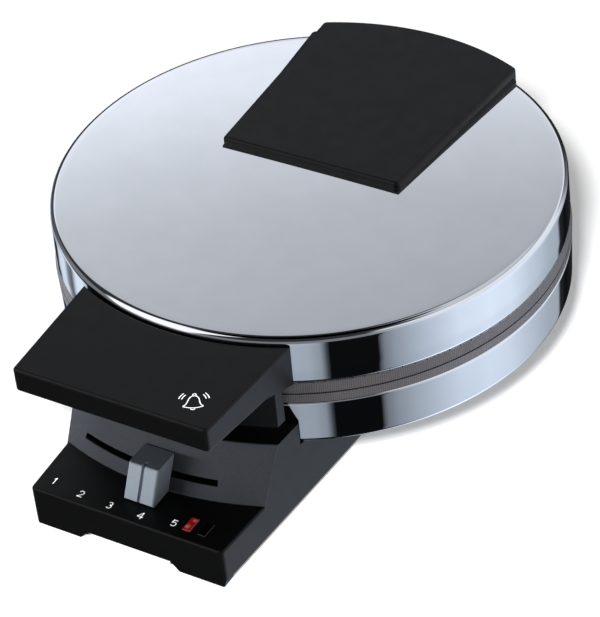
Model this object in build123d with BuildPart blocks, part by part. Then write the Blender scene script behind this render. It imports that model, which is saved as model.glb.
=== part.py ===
from build123d import *
import math
import os

os.makedirs("parts", exist_ok=True)

# Heart waffle iron in millimetres. It stands on Z = 0 and its handle points to -Y.
# The round plates share one upright plate axis; heights are counted from the table.
# Lengths along Y are counted from the plate axis.

# Cooking plates
plate_r = 100.0           # rims at the parting edge
parting_z = 51.6          # height where the two plates meet
plate_gap = 0.6           # daylight left between their rims
lower_band_h = 3.9        # height of the lower rim band
lower_band_step = 0.2     # what the band tapers in to the shell
upper_band_h = 4.2
upper_band_step = 0.6
rim_w = 12.0              # thin rim outside the thick pan
pan_depth = 12.4          # from the face to the back of the pan
web_depth = 2.4           # batter over the studs
channel_depth = 5.0       # batter between the studs, below the web
hearts = 5
heart_tip_gap = 1.5       # half of the wall between two hearts
lobe_r = 18.5             # round lobes of a heart
lobe_x = 17.0
stud_pitch = 12.5
stud_size = 8.2
stud_border = 3.2         # batter edge round the studs of a heart
stud_middle_y = 49.0      # middle of the stud grid from the plate axis
stud_rows = 7
least_stud = 10.0         # smallest stud area that is kept
gutter_edge = 2.0         # overflow gutter round the hearts, from the pan's edge
gutter_w = 3.0
gutter_depth = 1.2

# Sheet metal shells
sheet = 0.8
hood_step = 0.9           # side wall under the rim, from the plates' rims
hood_rise = 24.3          # parting to the top of the rounded rim
hood_dome = 1.5           # crown of the shallow dome over the rim
hood_corner = 2.5
pan_step = 0.5
pan_fall = 23.6           # parting down to the lower shell's bottom
pan_corner = 2.0

# Base housing
wall = 2.5
front_reach = 42.6        # base beyond the plates at the front
rear_reach = 18.0
base_front_half = 41.4
base_side_taper = 0.058   # half width gained for each millimetre to the rear
base_spread = 6.6         # half width gained from front to middle
rear_corner_l = 26.0      # length of the cut rear corners
base_rear_cut = 12.0      # half width lost over a cut corner
front_corner = 2.0        # rounded upright corners at the front
side_edge_z = 3.1         # lower edge of the side walls
front_edge_z = 4.2        # raised middle of the front wall
panel_fall = 10.5         # deck down to the control panel
cone_reach = 23.0         # curved control wall beyond the plates, where it meets the panel
cone_slope = 0.5194       # radius lost for each millimetre of height
tower_rise = 10.1         # front tower above the deck
rear_tower_fall = 10.8    # hinge axis down to the rear tower's top
recess_gap = 0.8          # daylight round the lower shell
foot_setback = 0.9        # outer edge of a front foot at the floor, from the base's side
foot_w = 19.0             # its width at the floor
foot_shoulder = 3.6       # foot's inner edge to the end of the notch between the feet
foot_depth = 6.2
foot_clear = 0.5          # floor to the plastic foot
pad_w = 14.0
pad_l = 4.4
pad_sink = 1.2
rear_foot_x = 27.0
rear_foot_w = 17.0

# Slot, lever and knob of the browning control
slot_rise = 5.0           # panel to the slot
slot_h = 2.3
slot_from = -16.4         # degrees from the front, towards +X
slot_to = 12.0
knob_angle = 0.2          # where the knob stands in the picture
lever_t = 1.6
lever_hub_r = 7.0
lever_w = 8.0
tongue_w = 6.0
hub_h = 3.2
panel_edge_r = 1.0
tower_edge_r = 0.5
knob_rise = 0.6           # panel to the knob
knob_h = 13.0
knob_depth = 10.9
knob_half = 6.4
knob_edge_r = 0.9
tongue_l = 6.0            # lever inside the knob
arm_end_l = 19.0          # the lever narrows to its tongue this far inside the panel's edge
knob_gap = 0.5            # knob to control wall
knob_groove_w = 1.3
knob_groove_d = 1.2
spindle_r = 3.0
running = 0.06            # radial play of shafts that turn
snug = 0.05               # radial play of screws, pins and pads that don't

# Hinge
hinge_reach = 9.5         # hinge axis beyond the plates
hinge_rise = 3.2          # above the parting
pin_r = 3.0
knuckle_r = 6.0
bush_wall = 1.5
arm_in = 15.0             # inner and outer side of a lid arm
arm_out = 25.0
arm_t = 4.5
ear_t = 3.0
ear_gap = 0.4
ear_r = 7.0
bracket_front_l = 6.1     # bracket's foot before and behind the axis
bracket_rear_l = 7.1
bracket_screw_x = 5.5
bracket_screw_l = 8.0
clip_t = 0.8
clip_r = 5.2
clip_groove = 0.6
pin_end = 1.0             # pin beyond its clips
arm_l = 47.5              # arms' front end to the axis
arm_bridge_l = 23.0       # bridge between the arms
arm_plate_t = 4.5
arm_drop = 2.5            # the arms step down this far behind the pan
arm_clear = 0.6
arm_slot_gap = 0.8
arm_screw_x = 11.5
arm_screw_l = (5.0, 17.0) # from the arms' front end
arm_screw_depth = 4.0

# Hinge cover on the lid
cover_front_y = 1.5
cover_front_half = 38.7
cover_taper = 0.0574
cover_lap = 0.6           # rear edge beyond the plates, concentric with them
cover_rise = 4.6          # above the hood's crown
cover_fall = 1.1          # what its top falls to the rear
cover_wall = 2.2
seam_fall = 2.5           # seam below the front of the cover's top
seam_bend_y = 38.0        # behind here the seam falls towards the rear
seam_rear_rise = 0.1      # seam's rear end above the hood's rim
seam_gap = 0.3
cap_edge_r = 1.5
cover_corner_r = 2.0      # rounded upright corners
cover_foot_flare = 3.4    # the frame's foot beyond the cap's sides, at the rear
cover_foot_inset = 1.6    # the foot's rear edge inside the hood's side
cover_foot_rise = 2.2     # above the hood's rim
cap_top_t = 1.8
skirt_rise = 7.4          # skirt behind the hood, from the hinge axis up
skirt_gap = 0.4
cover_screw_x = 20.0
cover_screw_l = 4.0       # from the arms' front end
cover_screw_head_h = 1.2
cover_screw_depth = 5.0
cover_post_r = 4.0

# Handle on the lid
handle_reach = 41.3       # front edge beyond the plates
handle_front_half = 40.7
handle_taper = 0.06
handle_fall = 2.3         # hood's rim down to the handle's top
handle_front_h = 10.0     # height of the handle at its front
handle_mid_reach = 4.0    # the underside falls more steeply from here
handle_mid_h = 12.8
handle_rear_h = 18.2
handle_wall = 2.4
handle_seat = 0.3         # daylight between hood and handle
apron_reach = 10.0
apron_t = 5.0
apron_h = 29.1            # handle's top down to the apron's lower edge
handle_edge_r = 1.2
handle_corner_r = 1.8     # rounded upright corners at the front
handle_low_edge_r = 0.9   # rounded lower edge at the front
apron_edge_r = 0.8
handle_panel_t = 2.2
panel_clear = 0.2         # underside panel to the handle's walls
handle_screw_angle = 13.0
handle_screw_fall = 6.1   # below the handle's top
handle_screw_l = 13.0
handle_boss_r = 3.6
handle_boss_l = 11.0
clip_leg_t = 1.5          # steel angle behind the hood that carries the handle
clip_gap = 0.1            # hood to the angle
clip_leg_fall = 2.6       # handle's top down to the angle's top
clip_foot_l = 8.7
clip_half_angle = 20.0
clip_screw_l = 5.2        # angle's outer face to its screws
clip_screw_angle = 9.0
clip_screw_depth = 3.2
clip_screw_head_r = 2.8
handle_panel_screw_x = 26.0
handle_panel_screw_l = 17.3   # from the handle's front edge
handle_panel_screw_depth = 8.0

# Lamp windows on the panel
lens_w = 3.2
lens_l = 7.0
lens_edge = 8.1           # panel's front edge to the middle of the windows
red_lens_x = 23.4
dark_lens_x = 29.9
lens_proud = 0.3

# Heating and control parts inside
element_r = 3.3
element_inset = 34.0      # rod's middle line inside the pan's edge
element_bend_r = 9.0
element_half_gap = 20.0   # degrees
element_tail = 8.0
element_sink = 2.3
shield_inset = 27.0       # shield's rim inside the pan's edge
shield_t = 0.6
shield_hole_r = 20.0
post_r = 5.0
post_inset = 50.0         # short posts inside the pan's edge
post_h = 7.0
long_post_inset = 20.0
long_post_angle = 25.0    # degrees from the Y direction
shield_rim_h = 4.0
shield_screw_l = 6.0
pin_collar_r = 2.6        # ceramic collars and contact pins at the ends of the rods
pin_collar_l = 3.0
contact_pin_r = 1.2
contact_pin_l = 9.0
shell_hole_r = 8.0
wire_hole_y = 33.0
wire_hole_r = 4.0
thermostat_r = 13.0
thermostat_h = 7.0
screw_r = 2.0
head_r = 3.6
head_h = 2.2
screw_clear = 0.2         # screw ends to the bottoms of their holes
deck_screw_l = 7.0
spindle_end = 2.9         # spindle's top to the plate's back
bearing_r = 5.0           # collar of the thermostat round its spindle
bearing_fall = 1.0        # collar's end below the deck's face
lever_screw_r = 1.2
lever_screw_head_r = 4.0
lever_screw_l = 6.0
flange_w = 46.0           # thermostat's flange on the plate
flange_l = 12.0
flange_t = 2.0
flange_screw_x = 18.5
flange_screw_depth = 4.0
fuse_r = 2.0
fuse_l = 14.0
fuse_y = 26.0
fuse_clip_t = 0.8
fuse_clip_w = 5.0
fuse_clip_half = 8.5      # half length of the clip over both tabs
fuse_screw_y = 5.7        # from the fuse
fuse_screw_head_r = 2.5
fuse_screw_depth = 3.5

# Bottom cover and what stands on it
cover_low_z = 3.4
cover_t = 2.0
cover_clear = 0.3
boss_r = 3.6
boss_screw_r = 1.4
boss_screw_head_r = 2.8
boss_screw_head_h = 1.6
boss_screw_l = 9.0
front_boss_inset = 4.9    # base's front half width to its front bosses
front_boss_edge = 21.1    # front edge of the base to its front bosses
rear_boss_inset = 10.0    # base's half width to its rear bosses
rear_boss_edge = 8.0      # cut rear corners to the rear bosses
vent_w = 2.5
vent_l = 22.0
vent_pitch = 6.0
vents = 7
vent_y = -35.0
board_z = 8.5
board_t = 1.6
board_w = 56.0
board_l = 44.0
board_y = 24.0
board_post_r = 2.5
board_screw_head_h = 1.2
buzzer_r = 6.0
buzzer_h = 7.0
buzzer_x = 16.0
capacitor_w = 8.0
capacitor_l = 20.0
capacitor_h = 11.0
capacitor_x = -14.0
capacitor_edge_r = 0.9
lamp_board_z = 7.0
lamp_board_w = 15.0
lamp_board_l = 7.6
lamp_board_shift = 2.3    # middle of the windows to the middle of their board
lamp_r = 1.4
lamp_h = 5.0
lens_flange = 0.9
lens_flange_t = 0.8
stake_r = 1.0             # pins that hold the lamp board
terminal_w = 26.0
terminal_l = 14.0
terminal_h = 12.0
terminal_edge = 52.0      # rear face of the base to the terminal block
terminal_bore_z = 5.0     # wire bores above the bottom cover
terminal_screw_l = 3.0
clamp_edge = 25.0         # rear face of the base to the cord clamp
clamp_w = 22.0
clamp_l = 7.0
clamp_bar_t = 3.0
clamp_screw_x = 7.8

# Cord inlet
inlet_z = 15.0
cord_bore_r = 3.6
gland_r = 6.5
gland_flange_r = 8.5
gland_flange_t = 1.5
gland_length = 9.0

# Radii that follow the plates
lower_band_r = plate_r - lower_band_step
upper_band_r = plate_r - upper_band_step
pan_r = plate_r - rim_w
gutter_r = pan_r - gutter_edge
hood_side_r = plate_r - hood_step
pan_side_r = plate_r - pan_step
cone_r = plate_r + cone_reach
element_ring_r = pan_r - element_inset
shield_r = pan_r - shield_inset
post_ring_r = pan_r - post_inset
long_post_ring_r = pan_r - long_post_inset
recess_r = lower_band_r + recess_gap
cover_r = plate_r + cover_lap
apron_r = plate_r + apron_reach
clip_leg_r = hood_side_r - sheet - clip_gap
clip_foot_r = clip_leg_r - clip_foot_l
clip_screw_r = clip_leg_r - clip_screw_l
arm_end_r = cone_r - arm_end_l

# Half widths
base_mid_half = base_front_half + base_spread
base_rear_half = base_mid_half - base_rear_cut
foot_half_out = base_front_half - foot_setback
foot_half_in = foot_half_out - foot_w
notch_half = foot_half_in - foot_shoulder
front_boss_x = base_front_half - front_boss_inset
rear_boss_x = base_mid_half - rear_boss_inset

# Places along Y
base_front_y = -plate_r - front_reach
base_rear_y = plate_r + rear_reach
base_corner_y = base_rear_y - rear_corner_l
hinge_y = plate_r + hinge_reach
bracket_front_y = hinge_y - bracket_front_l
bracket_rear_y = hinge_y + bracket_rear_l
arm_front_y = hinge_y - arm_l
arm_drop_y = pan_r + arm_drop
arm_rise_y = pan_r + arm_clear
cover_screw_y = arm_front_y + cover_screw_l
cover_foot_half = cover_front_half + cover_taper * (cover_r - cover_front_y) + cover_foot_flare
handle_front_y = -plate_r - handle_reach
handle_mid_y = -plate_r - handle_mid_reach
handle_rear_y = -pan_r
handle_panel_screw_y = handle_front_y + handle_panel_screw_l
lens_y = base_front_y + lens_edge
lamp_board_y = lens_y + lamp_board_shift
front_boss_y = base_front_y + front_boss_edge
rear_boss_y = base_corner_y - rear_boss_edge
terminal_y = base_rear_y - terminal_edge
clamp_y = base_rear_y - clamp_edge

# Heights
lower_face_z = parting_z - plate_gap / 2
upper_face_z = parting_z + plate_gap / 2
lower_band_z = lower_face_z - lower_band_h
upper_band_z = upper_face_z + upper_band_h
lower_back_z = lower_face_z - pan_depth
upper_back_z = upper_face_z + pan_depth
hood_rim_z = parting_z + hood_rise
hood_crown_z = hood_rim_z + hood_dome
deck_z = parting_z - pan_fall
panel_z = deck_z - panel_fall
tower_z = deck_z + tower_rise
slot_low_z = panel_z + slot_rise
slot_high_z = slot_low_z + slot_h
slot_middle_z = slot_low_z + slot_h / 2
knob_low_z = panel_z + knob_rise
knob_high_z = knob_low_z + knob_h
hinge_z = parting_z + hinge_rise
rear_tower_z = hinge_z - rear_tower_fall
skirt_low_z = hinge_z + skirt_rise
cover_front_z = hood_crown_z + cover_rise
cover_rear_z = cover_front_z - cover_fall
seam_front_z = cover_front_z - seam_fall
seam_rear_z = hood_rim_z + seam_rear_rise
handle_z = hood_rim_z - handle_fall
handle_front_low_z = handle_z - handle_front_h
handle_mid_low_z = handle_z - handle_mid_h
handle_rear_low_z = handle_z - handle_rear_h
apron_low_z = handle_z - apron_h
handle_screw_z = handle_z - handle_screw_fall
clip_leg_z = handle_z - clip_leg_fall
spindle_top_z = lower_back_z - spindle_end
bearing_low_z = deck_z - bearing_fall
cover_top_z = cover_low_z + cover_t

ear_in = arm_in - ear_gap - ear_t
ear_out = arm_out + ear_gap + ear_t
far = 300.0               # longer than anything that is cut

# The outline's middle is the origin, so the plate axis stands a little behind it.
axis_y = -(base_front_y + base_rear_y + gland_flange_t) / 2
plate_axis = Axis((0, axis_y, 0), (0, 0, 1))
side_view = Plane(origin=(0, axis_y, 0), x_dir=(0, 1, 0), z_dir=(1, 0, 0))


def level(z):
    """Flat plane at height z, centred on the plate axis."""
    return Plane(origin=(0, axis_y, z))


def below(z):
    """Flat plane at height z that faces down; its x runs to -X."""
    return Plane(origin=(0, axis_y, z), x_dir=(-1, 0, 0), z_dir=(0, 0, -1))


def radius_plane(angle):
    """Upright plane through the plate axis: x runs out along the radius, y runs up."""
    a = math.radians(angle)
    return Plane(
        origin=(0, axis_y, 0),
        x_dir=(math.sin(a), -math.cos(a), 0),
        z_dir=(-math.cos(a), -math.sin(a), 0),
    )


def outward_plane(angle, r, z):
    """Upright plane that faces outwards, centred on a point at radius r and height z."""
    a = math.radians(angle)
    return Plane(
        origin=(r * math.sin(a), axis_y - r * math.cos(a), z),
        x_dir=(math.cos(a), math.sin(a), 0),
        z_dir=(math.sin(a), -math.cos(a), 0),
    )


def round_points(r, count, start):
    """Points spaced evenly on a circle about the plate axis."""
    angles = [math.radians(start + 360 * i / count) for i in range(count)]
    return [(r * math.cos(a), r * math.sin(a)) for a in angles]


def mirrored_points(x, ys):
    """Points on both sides of the middle plane."""
    return [(side * x, y) for y in ys for side in (-1, 1)]


def arc_points(r, angle):
    """Two points at a radius, at equal angles to both sides of the front."""
    a = math.radians(angle)
    return [(side * r * math.sin(a), -r * math.cos(a)) for side in (-1, 1)]


def posts(plane, points, r, length):
    """Round posts that rise from a plane; a negative length goes the other way."""
    with BuildSketch(plane) as sections:
        with Locations(*points):
            Circle(r)
    extrude(sections.sketch, amount=length)


def holes(plane, points, r, depth):
    """Round holes that sink below a plane."""
    with BuildSketch(plane) as sections:
        with Locations(*points):
            Circle(r)
    extrude(sections.sketch, amount=-depth, mode=Mode.SUBTRACT)


def screws(plane, points, length, shank=screw_r, head=head_r, height=head_h):
    """Pan head screws: heads stand on the plane, shanks go below it."""
    posts(plane, points, head, height)
    rims = [edge for edge in edges().filter_by(GeomType.CIRCLE)
            if abs(plane.to_local_coords(edge.arc_center).Z - height) < snug]
    fillet(rims, radius=height * 0.45)
    posts(plane, points, shank, -length)
    with BuildSketch(plane.offset(height)) as crosses:
        with Locations(*points):
            Rectangle(head, head / 4)
            Rectangle(head / 4, head)
    extrude(crosses.sketch, amount=-height / 2, mode=Mode.SUBTRACT)


def crown_z(r):
    """Height of the hood's outer face at radius r; the top is a very shallow dome."""
    flat_r = hood_side_r - hood_corner
    rise = hood_crown_z - hood_rim_z
    dome_r = (flat_r**2 + rise**2) / (2 * rise)
    return hood_crown_z - dome_r + math.sqrt(dome_r**2 - r**2)


def cone_radius(z):
    """Radius of the control wall's outer face at height z."""
    return cone_r - cone_slope * (z - panel_z)


def hood_form(inset):
    """Turned hood: side wall, rounded rim and shallow dome, set in by a wall."""
    flat_r = hood_side_r - hood_corner
    turn = hood_corner - inset
    corner_z = hood_rim_z - hood_corner
    diagonal = turn * math.sqrt(0.5)
    with BuildPart() as form:
        with BuildSketch(radius_plane(0)):
            with BuildLine():
                Polyline((0, upper_band_z), (upper_band_r - inset, upper_band_z),
                         (hood_side_r - inset, corner_z))
                ThreePointArc((hood_side_r - inset, corner_z),
                              (flat_r + diagonal, corner_z + diagonal),
                              (flat_r, corner_z + turn))
                ThreePointArc((flat_r, corner_z + turn),
                              (flat_r / 2, crown_z(flat_r / 2) - inset),
                              (0, hood_crown_z - inset))
                Line((0, hood_crown_z - inset), (0, upper_band_z))
            make_face()
        revolve(axis=plate_axis)
    return form.part


def pan_form(inset):
    """Turned lower shell: side wall, rounded corner and flat bottom."""
    flat_r = pan_side_r - pan_corner
    turn = pan_corner - inset
    corner_z = deck_z + pan_corner
    diagonal = turn * math.sqrt(0.5)
    with BuildPart() as form:
        with BuildSketch(radius_plane(0)):
            with BuildLine():
                Polyline((0, lower_band_z), (lower_band_r - inset, lower_band_z),
                         (pan_side_r - inset, corner_z))
                ThreePointArc((pan_side_r - inset, corner_z),
                              (flat_r + diagonal, corner_z - diagonal),
                              (flat_r, corner_z - turn))
                Polyline((flat_r, corner_z - turn), (0, deck_z + inset), (0, lower_band_z))
            make_face()
        revolve(axis=plate_axis)
    return form.part


def plate_blank(face_z, band_z, band_r, back_z):
    """Cast plate: a thin rim band and a thick pan."""
    with BuildSketch(radius_plane(0)) as profile:
        with BuildLine():
            Polyline((0, face_z), (plate_r, face_z), (band_r, band_z), (pan_r, band_z),
                     (pan_r, back_z), (0, back_z), close=True)
        make_face()
    revolve(profile.sketch, axis=plate_axis)


def heart_outline(border):
    """One heart, set in by a border, with its tip at the plate axis and two round lobes."""
    half = math.pi / hearts
    lobe_y = (lobe_r + heart_tip_gap + lobe_x * math.cos(half)) / math.sin(half)
    r = lobe_r - border
    touch_x = lobe_x + r * math.cos(half)
    touch_y = lobe_y - r * math.sin(half)
    with Locations((-lobe_x, lobe_y), (lobe_x, lobe_y)):
        Circle(r)
    with BuildLine() as sides:
        Polyline((0, (heart_tip_gap + border) / math.sin(half)), (touch_x, touch_y),
                 (lobe_x, lobe_y), (-lobe_x, lobe_y), (-touch_x, touch_y), close=True)
    make_face(sides.edges())


def element_tail_end():
    """Place of a heating rod's tail end, from the plate axis."""
    gap = math.radians(element_half_gap)
    bend_centre_r = element_ring_r - element_bend_r
    return (bend_centre_r * math.sin(gap) - element_bend_r,
            bend_centre_r * math.cos(gap) - element_tail)


def tail_plane(z, way):
    """Upright plane at the ends of the tails that faces along Y, one way or the other."""
    end_y = element_tail_end()[1]
    return Plane(origin=(0, axis_y + end_y, z), x_dir=(1, 0, 0), z_dir=(0, way, 0))


lower_rod_z = lower_back_z + element_sink - element_r
upper_rod_z = upper_back_z - element_sink + element_r
tail_points = [(side * element_tail_end()[0], 0) for side in (-1, 1)]
short_posts = round_points(post_ring_r, 4, 45)
long_posts = [(x, y) for x, end in arc_points(long_post_ring_r, long_post_angle)
              for y in (end, -end)]
arm_screw_points = mirrored_points(arm_screw_x, [arm_front_y + l for l in arm_screw_l])
cover_screw_points = mirrored_points(cover_screw_x, (cover_screw_y,))
seam_slope = (seam_front_z - seam_rear_z) / (cover_r + 1 - seam_bend_y)
cover_seat_z = seam_front_z - seam_gap - seam_slope * (cover_screw_y + head_r - seam_bend_y)
cover_post_top_z = crown_z(math.hypot(cover_screw_x, cover_screw_y) + cover_post_r) - sheet
bracket_screw_points = mirrored_points(bracket_screw_x, (hinge_y,))
clip_screw_points = arc_points(clip_screw_r, clip_screw_angle)
handle_head_r = math.sqrt((clip_leg_r - clip_leg_t)**2 - head_r**2)
flange_screw_points = mirrored_points(flange_screw_x, (0,))
fuse_screw_points = [(0, -fuse_y + side * fuse_screw_y) for side in (-1, 1)]
handle_panel_points = mirrored_points(handle_panel_screw_x, (handle_panel_screw_y,))
panel_slope = (handle_front_low_z - handle_mid_low_z) / (handle_mid_y - handle_front_y)
panel_low_z = handle_front_low_z - panel_slope * (handle_panel_screw_y - handle_front_y)
panel_seat_z = panel_low_z + handle_panel_t / 2

with BuildSketch() as heart_web:
    heart_outline(0)

with BuildSketch() as heart_studs:
    heart_outline(stud_border)

with BuildSketch() as stud_grid:
    with Locations((0, stud_middle_y)):
        with GridLocations(stud_pitch, stud_pitch, stud_rows, stud_rows):
            Rectangle(stud_size, stud_size)
    add(heart_studs.sketch, mode=Mode.INTERSECT)

with BuildSketch() as heart_channels:
    add(heart_web.sketch)
    for stud in stud_grid.sketch.faces():
        if stud.area > least_stud:
            add(stud, mode=Mode.SUBTRACT)


def cut_hearts(face_z, into):
    """Sinks the hearts, their channels and the gutter into a plate's face."""
    turns = [180 + 360 * i / hearts for i in range(hearts)]
    for shape, depth in ((heart_web, web_depth), (heart_channels, web_depth + channel_depth)):
        with BuildSketch(level(face_z)) as ring_of_hearts:
            for turn in turns:
                add(shape.sketch, rotation=turn)
        extrude(ring_of_hearts.sketch, amount=into * depth, mode=Mode.SUBTRACT)
    with BuildSketch(level(face_z)) as gutter:
        Circle(gutter_r)
        Circle(gutter_r - gutter_w, mode=Mode.SUBTRACT)
    extrude(gutter.sketch, amount=into * gutter_depth, mode=Mode.SUBTRACT)


def element_sweep(z, r, mode):
    """Ring shaped heating rod whose two tails turn in towards the plate axis."""
    end_x, end_y = element_tail_end()
    bend = 90 + element_half_gap
    with BuildLine(level(z)) as path:
        tail = Line((end_x, end_y), (end_x, end_y + element_tail))
        turn_out = JernArc(tail @ 1, tail % 1, element_bend_r, -bend)
        ring = JernArc(turn_out @ 1, turn_out % 1, element_ring_r, 2 * element_half_gap - 360)
        turn_in = JernArc(ring @ 1, ring % 1, element_bend_r, -bend)
        Line(turn_in @ 1, turn_in @ 1 + (turn_in % 1) * element_tail)
    with BuildSketch(Plane(origin=path.line @ 0, z_dir=path.line % 0)) as section:
        Circle(r)
    sweep(section.sketch, path=path.line, mode=mode)


# Cooking plates with the hearts of the waffle
with BuildPart() as lower_plate:
    plate_blank(lower_face_z, lower_band_z, lower_band_r, lower_back_z)
    cut_hearts(lower_face_z, -1)
    posts(level(lower_back_z), short_posts, post_r, -post_h)
    posts(level(lower_back_z), long_posts, post_r, deck_z + sheet - lower_back_z)
    holes(level(lower_back_z), short_posts, screw_r + snug, post_h)
    holes(level(lower_back_z), long_posts, screw_r + snug, lower_back_z - deck_z)
    element_sweep(lower_rod_z, element_r + snug, Mode.SUBTRACT)
    holes(tail_plane(lower_rod_z, 1), tail_points, element_r + snug, contact_pin_l + 1)
    holes(below(lower_back_z), flange_screw_points, screw_r + snug, flange_screw_depth)
    holes(below(lower_back_z), fuse_screw_points, boss_screw_r + snug, fuse_screw_depth)
lower_plate.part.label = "lower_plate"
export_step(lower_plate.part, "parts/lower_plate.step")

with BuildPart() as upper_plate:
    plate_blank(upper_face_z, upper_band_z, upper_band_r, upper_back_z)
    cut_hearts(upper_face_z, 1)
    posts(level(upper_back_z), short_posts, post_r, post_h)
    holes(level(upper_back_z + post_h), short_posts, screw_r + snug, post_h)
    holes(level(upper_back_z), arm_screw_points, screw_r + snug, arm_screw_depth)
    holes(level(upper_band_z), clip_screw_points, screw_r + snug, clip_screw_depth)
    element_sweep(upper_rod_z, element_r + snug, Mode.SUBTRACT)
    holes(tail_plane(upper_rod_z, 1), tail_points, element_r + snug, contact_pin_l + 1)
upper_plate.part.label = "upper_plate"
export_step(upper_plate.part, "parts/upper_plate.step")

# Heating rods pressed into the backs of the plates, with their contact pins
with BuildPart() as lower_element:
    element_sweep(lower_rod_z, element_r, Mode.ADD)
lower_element.part.label = "lower_element"
export_step(lower_element.part, "parts/lower_element.step")

with BuildPart() as upper_element:
    element_sweep(upper_rod_z, element_r, Mode.ADD)
upper_element.part.label = "upper_element"
export_step(upper_element.part, "parts/upper_element.step")

for node, z in (("lower_element_pins", lower_rod_z), ("upper_element_pins", upper_rod_z)):
    with BuildPart() as element_pins:
        posts(tail_plane(z, -1), tail_points, pin_collar_r, pin_collar_l)
        posts(tail_plane(z, -1), tail_points, contact_pin_r, contact_pin_l)
    element_pins.part.label = node
    export_step(element_pins.part, f"parts/{node}.step")

# Heat shields over the backs of the plates, and the screws that hold them
for node, z, up in (("lower_heat_shield", lower_back_z - post_h, -1),
                    ("upper_heat_shield", upper_back_z + post_h, 1)):
    with BuildPart() as heat_shield:
        with BuildSketch(level(z)):
            Circle(shield_r)
            Circle(shield_hole_r, mode=Mode.SUBTRACT)
            with Locations(*short_posts):
                Circle(screw_r + snug, mode=Mode.SUBTRACT)
        extrude(amount=up * shield_t)
        with BuildSketch(level(z)):
            Circle(shield_r)
            Circle(shield_r - shield_t, mode=Mode.SUBTRACT)
        extrude(amount=-up * shield_rim_h)
    heat_shield.part.label = node
    export_step(heat_shield.part, f"parts/{node}.step")

for node, seat in (("lower_shield_screws", below(lower_back_z - post_h - shield_t)),
                   ("upper_shield_screws", level(upper_back_z + post_h + shield_t))):
    with BuildPart() as shield_screws:
        screws(seat, short_posts, shield_screw_l)
    shield_screws.part.label = node
    export_step(shield_screws.part, f"parts/{node}.step")

# Polished shells round the plates
with BuildPart() as lower_shell:
    add(pan_form(0))
    add(pan_form(sheet), mode=Mode.SUBTRACT)
    holes(level(deck_z + sheet), [(0, 0)], shell_hole_r, sheet)
    holes(level(deck_z + sheet), long_posts, screw_r + snug, sheet)
    holes(level(deck_z + sheet), [(0, wire_hole_y)], wire_hole_r, sheet)
lower_shell.part.label = "lower_shell"
export_step(lower_shell.part, "parts/lower_shell.step")

with BuildPart() as upper_shell:
    add(hood_form(0))
    add(hood_form(sheet), mode=Mode.SUBTRACT)
    holes(level(hood_crown_z), cover_screw_points, screw_r + snug, hood_corner)
    for angle in (-handle_screw_angle, handle_screw_angle):
        holes(outward_plane(angle, plate_r, handle_screw_z), [(0, 0)], screw_r + snug, hood_corner)
    for side in (-1, 1):
        with BuildSketch(level(upper_band_z)):
            with Locations((side * (arm_in + arm_out) / 2, pan_r + hood_corner)):
                Rectangle(arm_out - arm_in + 2 * arm_slot_gap, plate_r - pan_r,
                          align=(Align.CENTER, Align.MIN))
        extrude(amount=hinge_z + knuckle_r + arm_slot_gap - upper_band_z, mode=Mode.SUBTRACT)
upper_shell.part.label = "upper_shell"
export_step(upper_shell.part, "parts/upper_shell.step")

# Hinge arms: one casting on the upper plate's back with two arms to the pin
with BuildPart() as hinge_arms:
    with BuildSketch(side_view.offset(arm_in)) as arm_profile:
        with BuildLine():
            Polyline((arm_front_y, upper_back_z), (arm_front_y, upper_back_z + arm_plate_t),
                     (arm_drop_y, upper_back_z + arm_plate_t),
                     (arm_drop_y + arm_plate_t, hinge_z + knuckle_r),
                     (hinge_y, hinge_z + knuckle_r), (hinge_y, hinge_z + knuckle_r - arm_t),
                     (arm_rise_y, hinge_z + knuckle_r - arm_t), (arm_rise_y, upper_back_z),
                     close=True)
        make_face()
        with Locations((hinge_y, hinge_z)):
            Circle(knuckle_r)
    extrude(amount=arm_out - arm_in)
    mirror(about=Plane.YZ)
    with BuildSketch(level(upper_back_z)):
        with Locations((0, arm_front_y)):
            Rectangle(2 * arm_out, arm_bridge_l, align=(Align.CENTER, Align.MIN))
    extrude(amount=arm_plate_t)
    posts(level(upper_back_z + arm_plate_t), cover_screw_points, cover_post_r,
          cover_post_top_z - upper_back_z - arm_plate_t)
    holes(level(cover_post_top_z), cover_screw_points, screw_r + snug, cover_screw_depth)
    holes(level(upper_back_z + arm_plate_t), arm_screw_points, screw_r + snug, arm_plate_t)
    holes(side_view.offset(arm_out), [(hinge_y, hinge_z)], pin_r + bush_wall + snug, 2 * arm_out)
hinge_arms.part.label = "hinge_arms"
export_step(hinge_arms.part, "parts/hinge_arms.step")

with BuildPart() as hinge_arm_screws:
    screws(level(upper_back_z + arm_plate_t), arm_screw_points, arm_plate_t + arm_screw_depth - 1)
hinge_arm_screws.part.label = "hinge_arm_screws"
export_step(hinge_arm_screws.part, "parts/hinge_arm_screws.step")

with BuildPart() as hinge_bushes:
    for side in (-1, 1):
        bush_plane = side_view.offset(side * (arm_in + arm_out) / 2)
        with BuildSketch(bush_plane):
            with Locations((hinge_y, hinge_z)):
                Circle(pin_r + bush_wall)
                Circle(pin_r + running, mode=Mode.SUBTRACT)
        extrude(amount=(arm_out - arm_in) / 2, both=True)
hinge_bushes.part.label = "hinge_bushes"
export_step(hinge_bushes.part, "parts/hinge_bushes.step")

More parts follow.
